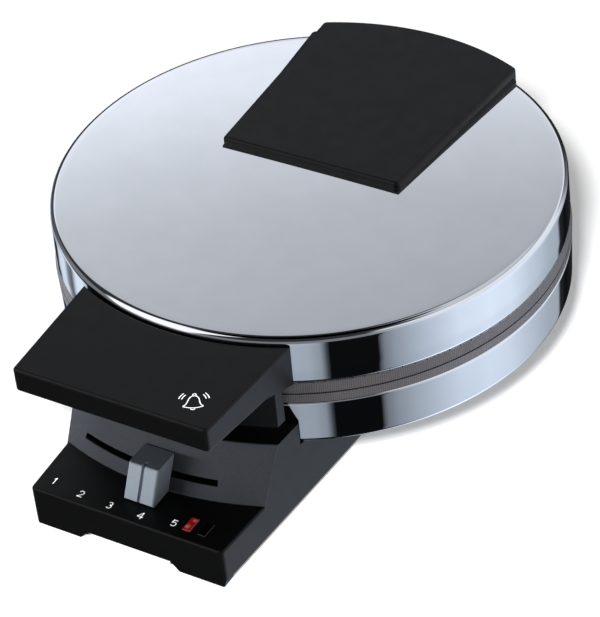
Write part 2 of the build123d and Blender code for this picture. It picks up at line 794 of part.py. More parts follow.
# Hinge bracket of bent steel on the rear tower, its pin and clips
with BuildPart() as hinge_bracket:
    with BuildSketch(level(rear_tower_z)):
        with Locations((0, bracket_front_y)):
            Rectangle(2 * ear_out, bracket_rear_y - bracket_front_y,
                      align=(Align.CENTER, Align.MIN))
    extrude(amount=ear_t)
    for x in (ear_in, ear_out - ear_t, -ear_in - ear_t, -ear_out):
        with BuildSketch(side_view.offset(x)) as ear_profile:
            with Locations((hinge_y, hinge_z)):
                Circle(ear_r)
            with BuildLine():
                Polyline((bracket_front_y, rear_tower_z), (hinge_y - ear_r, hinge_z),
                         (hinge_y + ear_r, hinge_z), (bracket_rear_y, rear_tower_z), close=True)
            make_face()
        extrude(amount=ear_t)
    holes(side_view.offset(ear_out), [(hinge_y, hinge_z)], pin_r + snug, 2 * ear_out)
    holes(level(rear_tower_z + ear_t), bracket_screw_points, screw_r + snug, ear_t)
hinge_bracket.part.label = "hinge_bracket"
export_step(hinge_bracket.part, "parts/hinge_bracket.step")

with BuildPart() as hinge_bracket_screws:
    screws(level(rear_tower_z + ear_t), bracket_screw_points, ear_t + bracket_screw_l)
hinge_bracket_screws.part.label = "hinge_bracket_screws"
export_step(hinge_bracket_screws.part, "parts/hinge_bracket_screws.step")

pin_half = ear_out + clip_t + pin_end
with BuildPart() as hinge_pin:
    posts(side_view.offset(-pin_half), [(hinge_y, hinge_z)], pin_r, 2 * pin_half)
    chamfer(edges().filter_by(GeomType.CIRCLE), length=pin_end / 2)
    for x in (-ear_out - snug - clip_t, ear_out + snug):
        with BuildSketch(side_view.offset(x)):
            with Locations((hinge_y, hinge_z)):
                Circle(pin_r)
                Circle(pin_r - clip_groove, mode=Mode.SUBTRACT)
        extrude(amount=clip_t, mode=Mode.SUBTRACT)
hinge_pin.part.label = "hinge_pin"
export_step(hinge_pin.part, "parts/hinge_pin.step")

with BuildPart() as hinge_pin_clips:
    for x in (-ear_out - snug - clip_t, ear_out + snug):
        with BuildSketch(side_view.offset(x)):
            with Locations((hinge_y, hinge_z)):
                Circle(clip_r)
                Circle(pin_r - clip_groove, mode=Mode.SUBTRACT)
                with Locations((0, -clip_r)):
                    Rectangle(pin_r, clip_r, mode=Mode.SUBTRACT)
        extrude(amount=clip_t)
hinge_pin_clips.part.label = "hinge_pin_clips"
export_step(hinge_pin_clips.part, "parts/hinge_pin_clips.step")


def cover_plan(plane, inset, height):
    """Prism over the cover's outline: two slanted sides and a rear edge round the plates."""
    front = cover_front_y + inset
    front_half = cover_front_half - inset + cover_taper * inset
    rear = cover_r
    rear_half = front_half + cover_taper * (rear - front)
    with BuildSketch(plane) as outline:
        with BuildLine():
            Polyline((-front_half, front), (front_half, front), (rear_half, rear),
                     (-rear_half, rear), close=True)
        make_face()
        Circle(cover_r - inset, mode=Mode.INTERSECT)
    extrude(outline.sketch, amount=height)


def side_band(points, half, mode):
    """Solid with a side outline, as wide as twice a half width, cut or kept in the part."""
    with BuildSketch(side_view.offset(-half)) as outline:
        with BuildLine():
            Polyline(*points, close=True)
        make_face()
    extrude(outline.sketch, amount=2 * half, mode=mode)


def seam_line(shift):
    """Side outline of the seam between the two cover pieces, moved up by a shift."""
    return [(cover_front_y - 1, seam_front_z + shift), (seam_bend_y, seam_front_z + shift),
            (cover_r + 1, seam_rear_z + shift)]


# Hinge cover: a cap over a lower frame that lies on the hood
with BuildPart() as cap_hollow:
    cover_plan(level(skirt_low_z), cover_wall, cover_front_z - skirt_low_z)
    side_band([(cover_front_y, skirt_low_z), (cover_r, skirt_low_z),
               (cover_r, cover_rear_z - cap_top_t), (cover_front_y, cover_front_z - cap_top_t)],
              far, Mode.INTERSECT)

with BuildPart() as hinge_cover_top:
    cover_plan(level(seam_rear_z), 0, cover_front_z)
    side_band(seam_line(0) + [(cover_r, cover_rear_z), (cover_front_y, cover_front_z)],
              far, Mode.INTERSECT)
    fillet(edges().filter_by(Axis.Z), radius=cover_corner_r)
    fillet(faces().sort_by(Axis.Z)[-1].edges(), radius=cap_edge_r)
    add(cap_hollow.part, mode=Mode.SUBTRACT)
hinge_cover_top.part.label = "hinge_cover_top"
export_step(hinge_cover_top.part, "parts/hinge_cover_top.step")

# Room for the cap above the seam, and the foot that spreads beside it towards the rear
with BuildPart() as cap_room:
    cover_plan(level(seam_rear_z - 1), -seam_gap, cover_front_z)
    side_band(seam_line(-seam_gap) + [(cover_r + 1, cover_front_z),
                                      (cover_front_y - 1, cover_front_z)], far, Mode.INTERSECT)

with BuildPart() as cover_foot:
    with BuildSketch(level(hood_rim_z - hood_corner)):
        with BuildLine():
            Polyline((-cover_front_half, cover_front_y), (cover_front_half, cover_front_y),
                     (cover_foot_half, cover_r), (-cover_foot_half, cover_r), close=True)
        make_face()
        Circle(hood_side_r - cover_foot_inset, mode=Mode.INTERSECT)
        fillet(vertices().group_by(Axis.Y)[-1], radius=cover_corner_r)
    extrude(amount=cover_foot_rise + hood_corner)
    add(cap_room.part, mode=Mode.SUBTRACT)

with BuildPart() as hinge_cover_frame:
    cover_plan(level(skirt_low_z), 0, cover_front_z)
    side_band([(cover_front_y, skirt_low_z)] + seam_line(-seam_gap) + [(cover_r, skirt_low_z)],
              far, Mode.INTERSECT)
    fillet(edges().filter_by(Axis.Z), radius=cover_corner_r)
    add(cover_foot.part)
    add(hood_form(0), mode=Mode.SUBTRACT)
    with BuildSketch(level(skirt_low_z)):
        Circle(hood_side_r + skirt_gap)
    extrude(amount=hood_rim_z - skirt_low_z, mode=Mode.SUBTRACT)
    holes(level(cover_front_z), cover_screw_points, screw_r + snug, cover_front_z - skirt_low_z)
    holes(level(cover_front_z), cover_screw_points, head_r + snug, cover_front_z - cover_seat_z)
hinge_cover_frame.part.label = "hinge_cover_frame"
export_step(hinge_cover_frame.part, "parts/hinge_cover_frame.step")


def handle_plan(inset, low_z, high_z):
    """Prism over the handle's outline, hollow towards the hood."""
    front = handle_front_y + inset
    front_half = handle_front_half - inset + handle_taper * inset
    rear_half = front_half + handle_taper * (handle_rear_y - front)
    with BuildSketch(level(low_z)) as outline:
        with BuildLine():
            Polyline((-front_half, front), (front_half, front), (rear_half, handle_rear_y),
                     (-rear_half, handle_rear_y), close=True)
        make_face()
        Circle(upper_band_r + handle_seat + inset, mode=Mode.SUBTRACT)
    extrude(outline.sketch, amount=high_z - low_z)


def handle_underside(shift):
    """Side outline of the handle's underside, moved up by a shift."""
    return [(handle_front_y, handle_front_low_z + shift), (handle_mid_y, handle_mid_low_z + shift),
            (handle_rear_y, handle_rear_low_z + shift)]


# Handle: an upper shell, and an underside panel with the apron that keeps steam off the hand
handle_screw_sides = (-handle_screw_angle, handle_screw_angle)
handle_boss_start_r = upper_band_r + handle_seat
with BuildPart() as handle_hollow:
    handle_plan(handle_wall, apron_low_z, handle_z - handle_wall)

with BuildPart() as handle_top:
    handle_plan(0, handle_rear_low_z, handle_z)
    side_band(handle_underside(0) + [(handle_rear_y, handle_z), (handle_front_y, handle_z)],
              far, Mode.INTERSECT)
    fillet(edges().filter_by(Axis.Z).sort_by(Axis.Y)[:2], radius=handle_corner_r)
    fillet(faces().sort_by(Axis.Z)[-1].edges(), radius=handle_edge_r)
    front_edges = edges().filter_by(Axis.X).group_by(Axis.Y)[0]
    fillet(front_edges.sort_by(Axis.Z)[0], radius=handle_low_edge_r)
    add(handle_hollow.part, mode=Mode.SUBTRACT)
    for angle in handle_screw_sides:
        posts(outward_plane(angle, handle_boss_start_r + handle_wall / 2, handle_screw_z),
              [(0, 0)], handle_boss_r, handle_boss_l)
        holes(outward_plane(angle, handle_boss_start_r + handle_screw_l, handle_screw_z),
              [(0, 0)], screw_r + snug, handle_screw_l + hood_corner)
    boss_low_z = panel_low_z + panel_slope * boss_r + handle_panel_t + snug
    posts(level(handle_z - handle_wall / 2), handle_panel_points, boss_r,
          boss_low_z - handle_z + handle_wall / 2)
    holes(below(boss_low_z), handle_panel_points, boss_screw_r + snug,
          handle_panel_screw_depth)
handle_top.part.label = "handle_top"
export_step(handle_top.part, "parts/handle_top.step")

with BuildPart() as handle_underside_panel:
    handle_plan(handle_wall + panel_clear, handle_rear_low_z, handle_z)
    side_band(handle_underside(0) + handle_underside(handle_panel_t)[::-1], far, Mode.INTERSECT)

with BuildPart() as handle_lower:
    handle_plan(0, apron_low_z, handle_z)
    with BuildSketch(level(apron_low_z)):
        Circle(apron_r)
        Circle(apron_r - apron_t, mode=Mode.SUBTRACT)
    extrude(amount=handle_z - apron_low_z, mode=Mode.INTERSECT)
    side_band(handle_underside(0) + [(handle_rear_y, apron_low_z), (handle_front_y, apron_low_z)],
              far, Mode.INTERSECT)
    fillet(edges().filter_by(Axis.Z), radius=apron_edge_r)
    add(handle_underside_panel.part)
    holes(below(panel_seat_z), handle_panel_points, boss_screw_r + snug, handle_panel_t)
    holes(level(panel_seat_z), handle_panel_points, boss_screw_head_r + snug, handle_panel_t)
handle_lower.part.label = "handle_lower"
export_step(handle_lower.part, "parts/handle_lower.step")

with BuildPart() as handle_clip:
    with BuildSketch(radius_plane(-clip_half_angle)):
        with BuildLine():
            Polyline((clip_foot_r, upper_band_z), (clip_leg_r, upper_band_z),
                     (clip_leg_r, clip_leg_z), (clip_leg_r - clip_leg_t, clip_leg_z),
                     (clip_leg_r - clip_leg_t, upper_band_z + clip_leg_t),
                     (clip_foot_r, upper_band_z + clip_leg_t), close=True)
        make_face()
    revolve(axis=plate_axis, revolution_arc=2 * clip_half_angle)
    holes(level(upper_band_z + clip_leg_t), clip_screw_points, screw_r + snug, clip_leg_t)
    for angle in handle_screw_sides:
        holes(outward_plane(angle, plate_r, handle_screw_z), [(0, 0)], screw_r + snug,
              plate_r - clip_foot_r)
handle_clip.part.label = "handle_clip"
export_step(handle_clip.part, "parts/handle_clip.step")

with BuildPart() as handle_clip_screws:
    screws(level(upper_band_z + clip_leg_t), clip_screw_points,
           clip_leg_t + clip_screw_depth - screw_clear, head=clip_screw_head_r)
handle_clip_screws.part.label = "handle_clip_screws"
export_step(handle_clip_screws.part, "parts/handle_clip_screws.step")

with BuildPart() as handle_panel_screws:
    screws(below(panel_seat_z), handle_panel_points, handle_panel_screw_depth, boss_screw_r,
           boss_screw_head_r, board_screw_head_h)
handle_panel_screws.part.label = "handle_panel_screws"
export_step(handle_panel_screws.part, "parts/handle_panel_screws.step")

with BuildPart() as handle_screws:
    for angle in handle_screw_sides:
        head_plane = outward_plane(angle, handle_head_r, handle_screw_z)
        screws(Plane(origin=head_plane.origin, x_dir=head_plane.x_dir, z_dir=-head_plane.z_dir),
               [(0, 0)], handle_screw_l)
handle_screws.part.label = "handle_screws"
export_step(handle_screws.part, "parts/handle_screws.step")

with BuildPart() as hinge_cover_screws:
    screws(level(cover_seat_z), cover_screw_points,
           cover_seat_z - cover_post_top_z + cover_screw_depth - screw_clear, height=cover_screw_head_h)
hinge_cover_screws.part.label = "hinge_cover_screws"
export_step(hinge_cover_screws.part, "parts/hinge_cover_screws.step")


def base_plan(inset, low_z, high_z):
    """Prism over the base's outline: a wedge that widens to the rear, with cut rear corners."""
    mid_y = base_front_y + (base_mid_half - base_front_half) / base_side_taper
    right = [(base_front_half, base_front_y), (base_mid_half, mid_y),
             (base_mid_half, base_corner_y), (base_rear_half, base_rear_y)]
    with BuildSketch(level(low_z)) as outline:
        with BuildLine():
            Polyline(*right, *[(-x, y) for x, y in right[::-1]], close=True)
        make_face()
        if inset:
            offset(amount=-inset, kind=Kind.INTERSECTION)
    extrude(outline.sketch, amount=high_z - low_z)


def front_feet():
    """Two low feet at the front corners, with slanted sides, inside the base's outline."""
    with BuildPart() as feet:
        base_plan(0, foot_clear, front_edge_z + wall)
        fillet(edges().filter_by(Axis.Z).sort_by(Axis.Y)[:2], radius=front_corner)
        with BuildSketch(front_view):
            for side in (-1, 1):
                with BuildLine():
                    Polyline((side * foot_half_in, foot_clear), (side * foot_half_out, foot_clear),
                             (side * base_front_half, front_edge_z),
                             (side * base_front_half, front_edge_z + wall),
                             (side * notch_half, front_edge_z + wall),
                             (side * notch_half, front_edge_z), close=True)
                make_face()
        extrude(amount=-foot_depth, mode=Mode.INTERSECT)
    return feet.part


def base_form(inset, low_z):
    """Base housing's form: wedge, curved control wall, recess for the shell, rear tower."""
    shrink = inset * math.hypot(1, cone_slope)
    step_z = panel_z - inset
    top_z = tower_z - inset
    with BuildPart() as form:
        base_plan(inset, low_z, rear_tower_z - inset)
        with BuildSketch(radius_plane(-90)):
            with BuildLine():
                Polyline((cone_radius(step_z) - shrink, step_z),
                         (cone_radius(top_z) - shrink, top_z), (0, top_z), (0, rear_tower_z),
                         (far, rear_tower_z), (far, step_z), close=True)
            make_face()
        revolve(axis=plate_axis, revolution_arc=180, mode=Mode.SUBTRACT)
        with BuildSketch(level(deck_z - inset)):
            Circle(recess_r + inset)
        extrude(amount=far, mode=Mode.SUBTRACT)
    return form.part


def blocks(plane, corners, width, length, height, mode=Mode.ADD):
    """Upright blocks of one size, centred on points of a plane."""
    with BuildSketch(plane) as sections:
        with Locations(*corners):
            Rectangle(width, length)
    extrude(sections.sketch, amount=height, mode=mode)


# Base housing
front_bosses = mirrored_points(front_boss_x, (front_boss_y,))
rear_bosses = mirrored_points(rear_boss_x, (rear_boss_y,))
front_foot_y = base_front_y + foot_depth / 2
rear_foot_y = base_rear_y - foot_depth / 2
foot_middle_x = (foot_half_in + foot_half_out) / 2
pad_points = [(x, front_foot_y) for x in (-foot_middle_x, foot_middle_x)] + [
    (x, rear_foot_y) for x in (-rear_foot_x, rear_foot_x)]
lens_points = [(red_lens_x, lens_y), (dark_lens_x, lens_y)]
front_view = Plane(origin=(0, axis_y + base_front_y, 0), x_dir=(1, 0, 0), z_dir=(0, -1, 0))
rear_wall = Plane(origin=(0, axis_y + base_rear_y, inlet_z), x_dir=(-1, 0, 0), z_dir=(0, 1, 0))

with BuildPart() as base_housing:
    add(base_form(0, side_edge_z))
    fillet(edges().filter_by(Axis.Z).sort_by(Axis.Y)[:2], radius=front_corner)
    panel_rim = [edge for edge in edges()
                 if abs(edge.center().Z - panel_z) < snug and edge.center().Y < axis_y - cone_r]
    fillet(panel_rim, radius=panel_edge_r)
    tower_rim = [edge for edge in edges().filter_by(GeomType.CIRCLE)
                 if abs(edge.center().Z - tower_z) < snug and edge.radius > recess_r + wall]
    fillet(tower_rim, radius=tower_edge_r)
    add(base_form(wall, side_edge_z - wall), mode=Mode.SUBTRACT)
    with BuildSketch(front_view):
        with Locations((0, side_edge_z)):
            Rectangle(2 * notch_half, 2 * (front_edge_z - side_edge_z))
    extrude(amount=-2 * wall, mode=Mode.SUBTRACT)
    add(front_feet())
    blocks(level(foot_clear), pad_points[2:], rear_foot_w, foot_depth, front_edge_z + wall)
    blocks(level(foot_clear), pad_points, pad_w + snug, pad_l + snug, pad_sink, Mode.SUBTRACT)
    with BuildSketch(radius_plane(slot_from)):
        with Locations((cone_radius(slot_middle_z), slot_middle_z)):
            Rectangle(4 * wall, slot_high_z - slot_low_z)
    revolve(axis=plate_axis, revolution_arc=slot_to - slot_from, mode=Mode.SUBTRACT)
    blocks(level(panel_z), lens_points, lens_w + 2 * snug, lens_l + 2 * snug, -wall,
           Mode.SUBTRACT)
    posts(level(cover_top_z), front_bosses, boss_r, panel_z - wall / 2 - cover_top_z)
    posts(level(cover_top_z), rear_bosses, boss_r, deck_z - wall / 2 - cover_top_z)
    holes(below(cover_top_z), front_bosses + rear_bosses, boss_screw_r + snug, boss_screw_l)
    posts(level(rear_tower_z - wall), bracket_screw_points, boss_r, -bracket_screw_l)
    holes(level(rear_tower_z), bracket_screw_points, screw_r + snug, bracket_screw_l + wall)
    holes(level(deck_z), long_posts, screw_r + snug, wall)
    holes(level(deck_z), [(0, 0)], shell_hole_r, wall)
    holes(level(deck_z), [(0, wire_hole_y)], wire_hole_r, wall)
    holes(rear_wall, [(0, 0)], gland_r + snug, 2 * wall)
base_housing.part.label = "base_housing"
export_step(base_housing.part, "parts/base_housing.step")

# Bottom cover with air slots, board posts and the lower half of the cord clamp
board_points = mirrored_points(board_w / 2 - board_post_r,
                               (board_y - board_l / 2 + board_post_r,
                                board_y + board_l / 2 - board_post_r))
lamp_board_x = (red_lens_x + dark_lens_x) / 2
lamp_post_points = [(lamp_board_x - lamp_board_w / 2 + board_post_r, lamp_board_y),
                    (lamp_board_x + lamp_board_w / 2 - board_post_r, lamp_board_y)]
clamp_screw_points = mirrored_points(clamp_screw_x, (clamp_y,))
with BuildPart() as bottom_cover:
    base_plan(wall + cover_clear, cover_low_z, cover_top_z)
    for x, y in pad_points:
        foot_w = rear_foot_w if y > 0 else 2 * (foot_middle_x - notch_half)
        blocks(level(cover_low_z), [(x, y)], foot_w + 4 * cover_clear,
               foot_depth + 4 * cover_clear, cover_t, Mode.SUBTRACT)
    with BuildSketch(level(cover_low_z)):
        with Locations((0, vent_y)):
            with GridLocations(0, vent_pitch, 1, vents):
                SlotOverall(vent_l, vent_w)
    extrude(amount=cover_t, mode=Mode.SUBTRACT)
    posts(level(cover_top_z), board_points, board_post_r, board_z - cover_top_z)
    posts(level(cover_top_z), lamp_post_points, board_post_r, lamp_board_z - cover_top_z)
    posts(level(lamp_board_z), lamp_post_points, stake_r, board_t + wall / 4)
    blocks(level(cover_top_z), [(0, clamp_y)], clamp_w, clamp_l, inlet_z - cover_top_z)
    holes(level(inlet_z), clamp_screw_points, boss_screw_r + snug, boss_screw_l)
    holes(rear_wall, [(0, 0)], cord_bore_r + snug, base_rear_y - clamp_y + clamp_l)
    holes(below(cover_low_z), front_bosses + rear_bosses, boss_screw_r + snug, cover_t)
    holes(level(board_z), board_points, boss_screw_r + snug, board_z - cover_top_z)
bottom_cover.part.label = "bottom_cover"
export_step(bottom_cover.part, "parts/bottom_cover.step")

with BuildPart() as bottom_cover_screws:
    screws(below(cover_low_z), front_bosses + rear_bosses, boss_screw_l, boss_screw_r,
           boss_screw_head_r, boss_screw_head_h)
bottom_cover_screws.part.label = "bottom_cover_screws"
export_step(bottom_cover_screws.part, "parts/bottom_cover_screws.step")

with BuildPart() as rubber_feet:
    blocks(level(0), pad_points, pad_w - snug, pad_l - snug, foot_clear + pad_sink)
    fillet(edges().filter_by(Axis.Z), radius=wall / 2)
rubber_feet.part.label = "rubber_feet"
export_step(rubber_feet.part, "parts/rubber_feet.step")

with BuildPart() as deck_screws:
    screws(below(deck_z - wall), long_posts, wall + deck_screw_l)
deck_screws.part.label = "deck_screws"
export_step(deck_screws.part, "parts/deck_screws.step")

# Cord inlet at the rear: a gland for a round mains lead and the clamp behind it
with BuildPart() as cord_gland:
    posts(rear_wall, [(0, 0)], gland_flange_r, gland_flange_t)
    posts(rear_wall, [(0, 0)], gland_r, gland_flange_t - gland_length)
    holes(rear_wall.offset(gland_flange_t), [(0, 0)], cord_bore_r, gland_length)
    fillet(faces().sort_by(Axis.Y)[-1].edges(), radius=gland_flange_t / 3)
cord_gland.part.label = "cord_gland"
export_step(cord_gland.part, "parts/cord_gland.step")

with BuildPart() as cord_clamp:
    blocks(level(inlet_z), [(0, clamp_y)], clamp_w, clamp_l, cord_bore_r + clamp_bar_t)
    holes(rear_wall, [(0, 0)], cord_bore_r + snug, base_rear_y - clamp_y + clamp_l)
    holes(level(inlet_z + cord_bore_r + clamp_bar_t), clamp_screw_points, boss_screw_r + snug,
          cord_bore_r + clamp_bar_t)
cord_clamp.part.label = "cord_clamp"
export_step(cord_clamp.part, "parts/cord_clamp.step")

with BuildPart() as cord_clamp_screws:
    screws(level(inlet_z + cord_bore_r + clamp_bar_t), clamp_screw_points,
           cord_bore_r + clamp_bar_t + boss_screw_l - 1, boss_screw_r, boss_screw_head_r,
           boss_screw_head_h)
cord_clamp_screws.part.label = "cord_clamp_screws"
export_step(cord_clamp_screws.part, "parts/cord_clamp_screws.step")

# Electrics in the base
poles = [(x * terminal_w / 3, terminal_y) for x in (-1, 0, 1)]
terminal_seat_z = cover_top_z + terminal_h - wall
wire_side = Plane(origin=(0, axis_y + terminal_y + terminal_l / 2, cover_top_z + terminal_bore_z),
                  x_dir=(-1, 0, 0), z_dir=(0, 1, 0))
with BuildPart() as terminal_block:
    blocks(level(cover_top_z), [(0, terminal_y)], terminal_w, terminal_l, terminal_h)
    holes(level(terminal_seat_z + wall), poles, boss_screw_head_r, wall)
    holes(level(terminal_seat_z), poles, boss_screw_r + snug, terminal_h / 2)
    holes(wire_side, [(x, 0) for x, y in poles], boss_screw_r, terminal_l)
terminal_block.part.label = "terminal_block"
export_step(terminal_block.part, "parts/terminal_block.step")

with BuildPart() as terminal_screws:
    screws(level(terminal_seat_z), poles, terminal_screw_l, boss_screw_r,
           boss_screw_head_r - snug, boss_screw_head_h)
terminal_screws.part.label = "terminal_screws"
export_step(terminal_screws.part, "parts/terminal_screws.step")

with BuildPart() as control_board:
    blocks(level(board_z), [(0, board_y)], board_w, board_l, board_t)
    holes(level(board_z + board_t), board_points, boss_screw_r + snug, board_t)
control_board.part.label = "control_board"
export_step(control_board.part, "parts/control_board.step")

with BuildPart() as control_board_screws:
    screws(level(board_z + board_t), board_points, board_t + board_z - cover_top_z,
           boss_screw_r, boss_screw_head_r, board_screw_head_h)
control_board_screws.part.label = "control_board_screws"
export_step(control_board_screws.part, "parts/control_board_screws.step")

with BuildPart() as buzzer:
    posts(level(board_z + board_t), [(buzzer_x, board_y)], buzzer_r, buzzer_h)
    holes(level(board_z + board_t + buzzer_h), [(buzzer_x, board_y)], lamp_r, wall)
buzzer.part.label = "buzzer"
export_step(buzzer.part, "parts/buzzer.step")

with BuildPart() as capacitor:
    blocks(level(board_z + board_t), [(capacitor_x, board_y)], capacitor_w, capacitor_l,
           capacitor_h)
    fillet(edges().filter_by(Axis.Z), radius=capacitor_edge_r)
capacitor.part.label = "capacitor"
export_step(capacitor.part, "parts/capacitor.step")

with BuildPart() as lamp_board:
    blocks(level(lamp_board_z), [(lamp_board_x, lamp_board_y)], lamp_board_w, lamp_board_l,
           board_t)
    holes(level(lamp_board_z + board_t), lamp_post_points, stake_r + snug, board_t)
lamp_board.part.label = "lamp_board"
export_step(lamp_board.part, "parts/lamp_board.step")

with BuildPart() as lamps:
    posts(level(lamp_board_z + board_t), lens_points, lamp_r, lamp_h)
    fillet(faces().filter_by(Axis.Z).group_by(Axis.Z)[-1].edges(), radius=lamp_r * 0.6)
lamps.part.label = "lamps"
export_step(lamps.part, "parts/lamps.step")

for node, x in (("red_lens", red_lens_x), ("dark_lens", dark_lens_x)):
    with BuildPart() as lens:
        blocks(level(panel_z + lens_proud), [(x, lens_y)], lens_w, lens_l, -lens_proud - wall)
        fillet(edges().group_by(Axis.Z)[-1], radius=lens_proud)
        blocks(level(panel_z - wall), [(x, lens_y)], lens_w + 2 * lens_flange,
               lens_l + 2 * lens_flange, -lens_flange_t)
    lens.part.label = node
    export_step(lens.part, f"parts/{node}.step")

# Thermostat on the lower plate, and the safety fuse beside it
with BuildPart() as thermostat:
    blocks(level(lower_back_z), [(0, 0)], flange_w, flange_l, -flange_t)
    posts(level(lower_back_z), [(0, 0)], thermostat_r, -thermostat_h)
    posts(level(lower_back_z), [(0, 0)], bearing_r, bearing_low_z - lower_back_z)
    holes(below(bearing_low_z), [(0, 0)], spindle_r + running, spindle_top_z + 1 - bearing_low_z)
    holes(below(lower_back_z - flange_t), flange_screw_points, screw_r + snug, flange_t)
thermostat.part.label = "thermostat"
export_step(thermostat.part, "parts/thermostat.step")

with BuildPart() as thermostat_screws:
    screws(below(lower_back_z - flange_t), flange_screw_points,
           flange_t + flange_screw_depth - screw_clear)
thermostat_screws.part.label = "thermostat_screws"
export_step(thermostat_screws.part, "parts/thermostat_screws.step")

fuse_z = lower_back_z - fuse_r
with BuildPart() as thermal_fuse:
    posts(side_view.offset(-fuse_l / 2), [(-fuse_y, fuse_z)], fuse_r, fuse_l)
    chamfer(edges().filter_by(GeomType.CIRCLE), length=fuse_r / 3)
thermal_fuse.part.label = "thermal_fuse"
export_step(thermal_fuse.part, "parts/thermal_fuse.step")

with BuildPart() as fuse_clip:
    posts(side_view.offset(-fuse_clip_w / 2), [(-fuse_y, fuse_z)], fuse_r + fuse_clip_t,
          fuse_clip_w)
    blocks(level(lower_back_z), [(0, -fuse_y)], fuse_clip_w, 2 * fuse_clip_half, -fuse_clip_t)
    holes(side_view.offset(fuse_clip_w), [(-fuse_y, fuse_z)], fuse_r + snug, 2 * fuse_clip_w)
    blocks(level(lower_back_z), [(0, -fuse_y)], fuse_clip_w, 2 * fuse_r, -fuse_r, Mode.SUBTRACT)
    blocks(level(lower_back_z), [(0, -fuse_y)], fuse_clip_w, 4 * fuse_clip_half, fuse_r,
           Mode.SUBTRACT)
    holes(level(lower_back_z), fuse_screw_points, boss_screw_r + snug, fuse_clip_t)
fuse_clip.part.label = "fuse_clip"
export_step(fuse_clip.part, "parts/fuse_clip.step")

with BuildPart() as fuse_clip_screws:
    screws(below(lower_back_z - fuse_clip_t), fuse_screw_points,
           fuse_clip_t + fuse_screw_depth - screw_clear, boss_screw_r, fuse_screw_head_r,
           boss_screw_head_h)
fuse_clip_screws.part.label = "fuse_clip_screws"
export_step(fuse_clip_screws.part, "parts/fuse_clip_screws.step")

# Browning control: spindle in the thermostat, lever under the deck, knob outside the slot
tongue_end_r = cone_radius(slot_middle_z) + knob_gap + tongue_l
hub_low_z = deck_z - wall - cover_clear - hub_h
with BuildPart() as thermostat_spindle:
    posts(level(hub_low_z), [(0, 0)], spindle_r, spindle_top_z - hub_low_z)
    holes(below(hub_low_z), [(0, 0)], lever_screw_r + snug, lever_screw_l)
thermostat_spindle.part.label = "thermostat_spindle"
export_step(thermostat_spindle.part, "parts/thermostat_spindle.step")


def lever_strip(half, start_r, end_r, low_z, high_z, mode=Mode.ADD):
    """Straight strip along the radius at which the knob stands."""
    with BuildSketch(radius_plane(knob_angle).offset(-half)) as section:
        with Locations(((start_r + end_r) / 2, (low_z + high_z) / 2)):
            Rectangle(end_r - start_r, high_z - low_z)
    extrude(section.sketch, amount=2 * half, mode=mode)


with BuildPart() as browning_lever:
    posts(level(hub_low_z), [(0, 0)], lever_hub_r, hub_h)
    lever_strip(lever_w / 2, 0, arm_end_r, slot_middle_z - lever_t / 2, slot_middle_z + lever_t / 2)
    lever_strip(tongue_w / 2, 0, tongue_end_r, slot_middle_z - lever_t / 2,
                slot_middle_z + lever_t / 2)
    holes(level(hub_low_z + hub_h), [(0, 0)], spindle_r + snug, hub_h)
browning_lever.part.label = "browning_lever"
export_step(browning_lever.part, "parts/browning_lever.step")

with BuildPart() as lever_screw:
    screws(below(hub_low_z), [(0, 0)], lever_screw_l - 1, lever_screw_r, lever_screw_head_r,
           boss_screw_head_h)
lever_screw.part.label = "lever_screw"
export_step(lever_screw.part, "parts/lever_screw.step")

knob_front_low_r = cone_radius(knob_low_z) + knob_gap + knob_depth
knob_front_high_r = cone_radius(knob_high_z) + knob_gap + knob_depth
with BuildPart() as slider_knob:
    with BuildSketch(radius_plane(knob_angle).offset(-knob_half)):
        with BuildLine():
            Polyline((cone_radius(knob_low_z) + knob_gap, knob_low_z),
                     (knob_front_low_r, knob_low_z), (knob_front_high_r, knob_high_z),
                     (cone_radius(knob_high_z) + knob_gap, knob_high_z), close=True)
        make_face()
    extrude(amount=2 * knob_half)
    fillet(faces().sort_by(Axis.Y)[0].edges(), radius=knob_edge_r)
    with BuildSketch(radius_plane(knob_angle).offset(-knob_groove_w / 2)):
        with BuildLine():
            Polyline((knob_front_low_r - knob_groove_d, knob_low_z), (knob_front_low_r, knob_low_z),
                     (knob_front_high_r, knob_high_z),
                     (knob_front_high_r - 2 * knob_groove_d, knob_high_z),
                     (knob_front_high_r - 2 * knob_groove_d, knob_high_z - knob_groove_d),
                     (knob_front_high_r - knob_groove_d / 2, knob_high_z - knob_groove_d),
                     close=True)
        make_face()
    extrude(amount=knob_groove_w, mode=Mode.SUBTRACT)
    lever_strip(tongue_w / 2 + snug, arm_end_r, tongue_end_r + snug,
                slot_middle_z - lever_t / 2 - snug, slot_middle_z + lever_t / 2 + snug,
                Mode.SUBTRACT)
slider_knob.part.label = "slider_knob"
export_step(slider_knob.part, "parts/slider_knob.step")
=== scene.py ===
# %% [markdown]
# A heart waffle iron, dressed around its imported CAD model.
# The CAD model is the frame: every node already has its true size and place, in metres.
# This script adds the looks: the polished skins, the printed figures and the bell,
# a material for every piece, the lamps, the floor and the camera.

# %% Load the frame
import math

import bpy
import numpy as np
from mathutils import Matrix, Vector


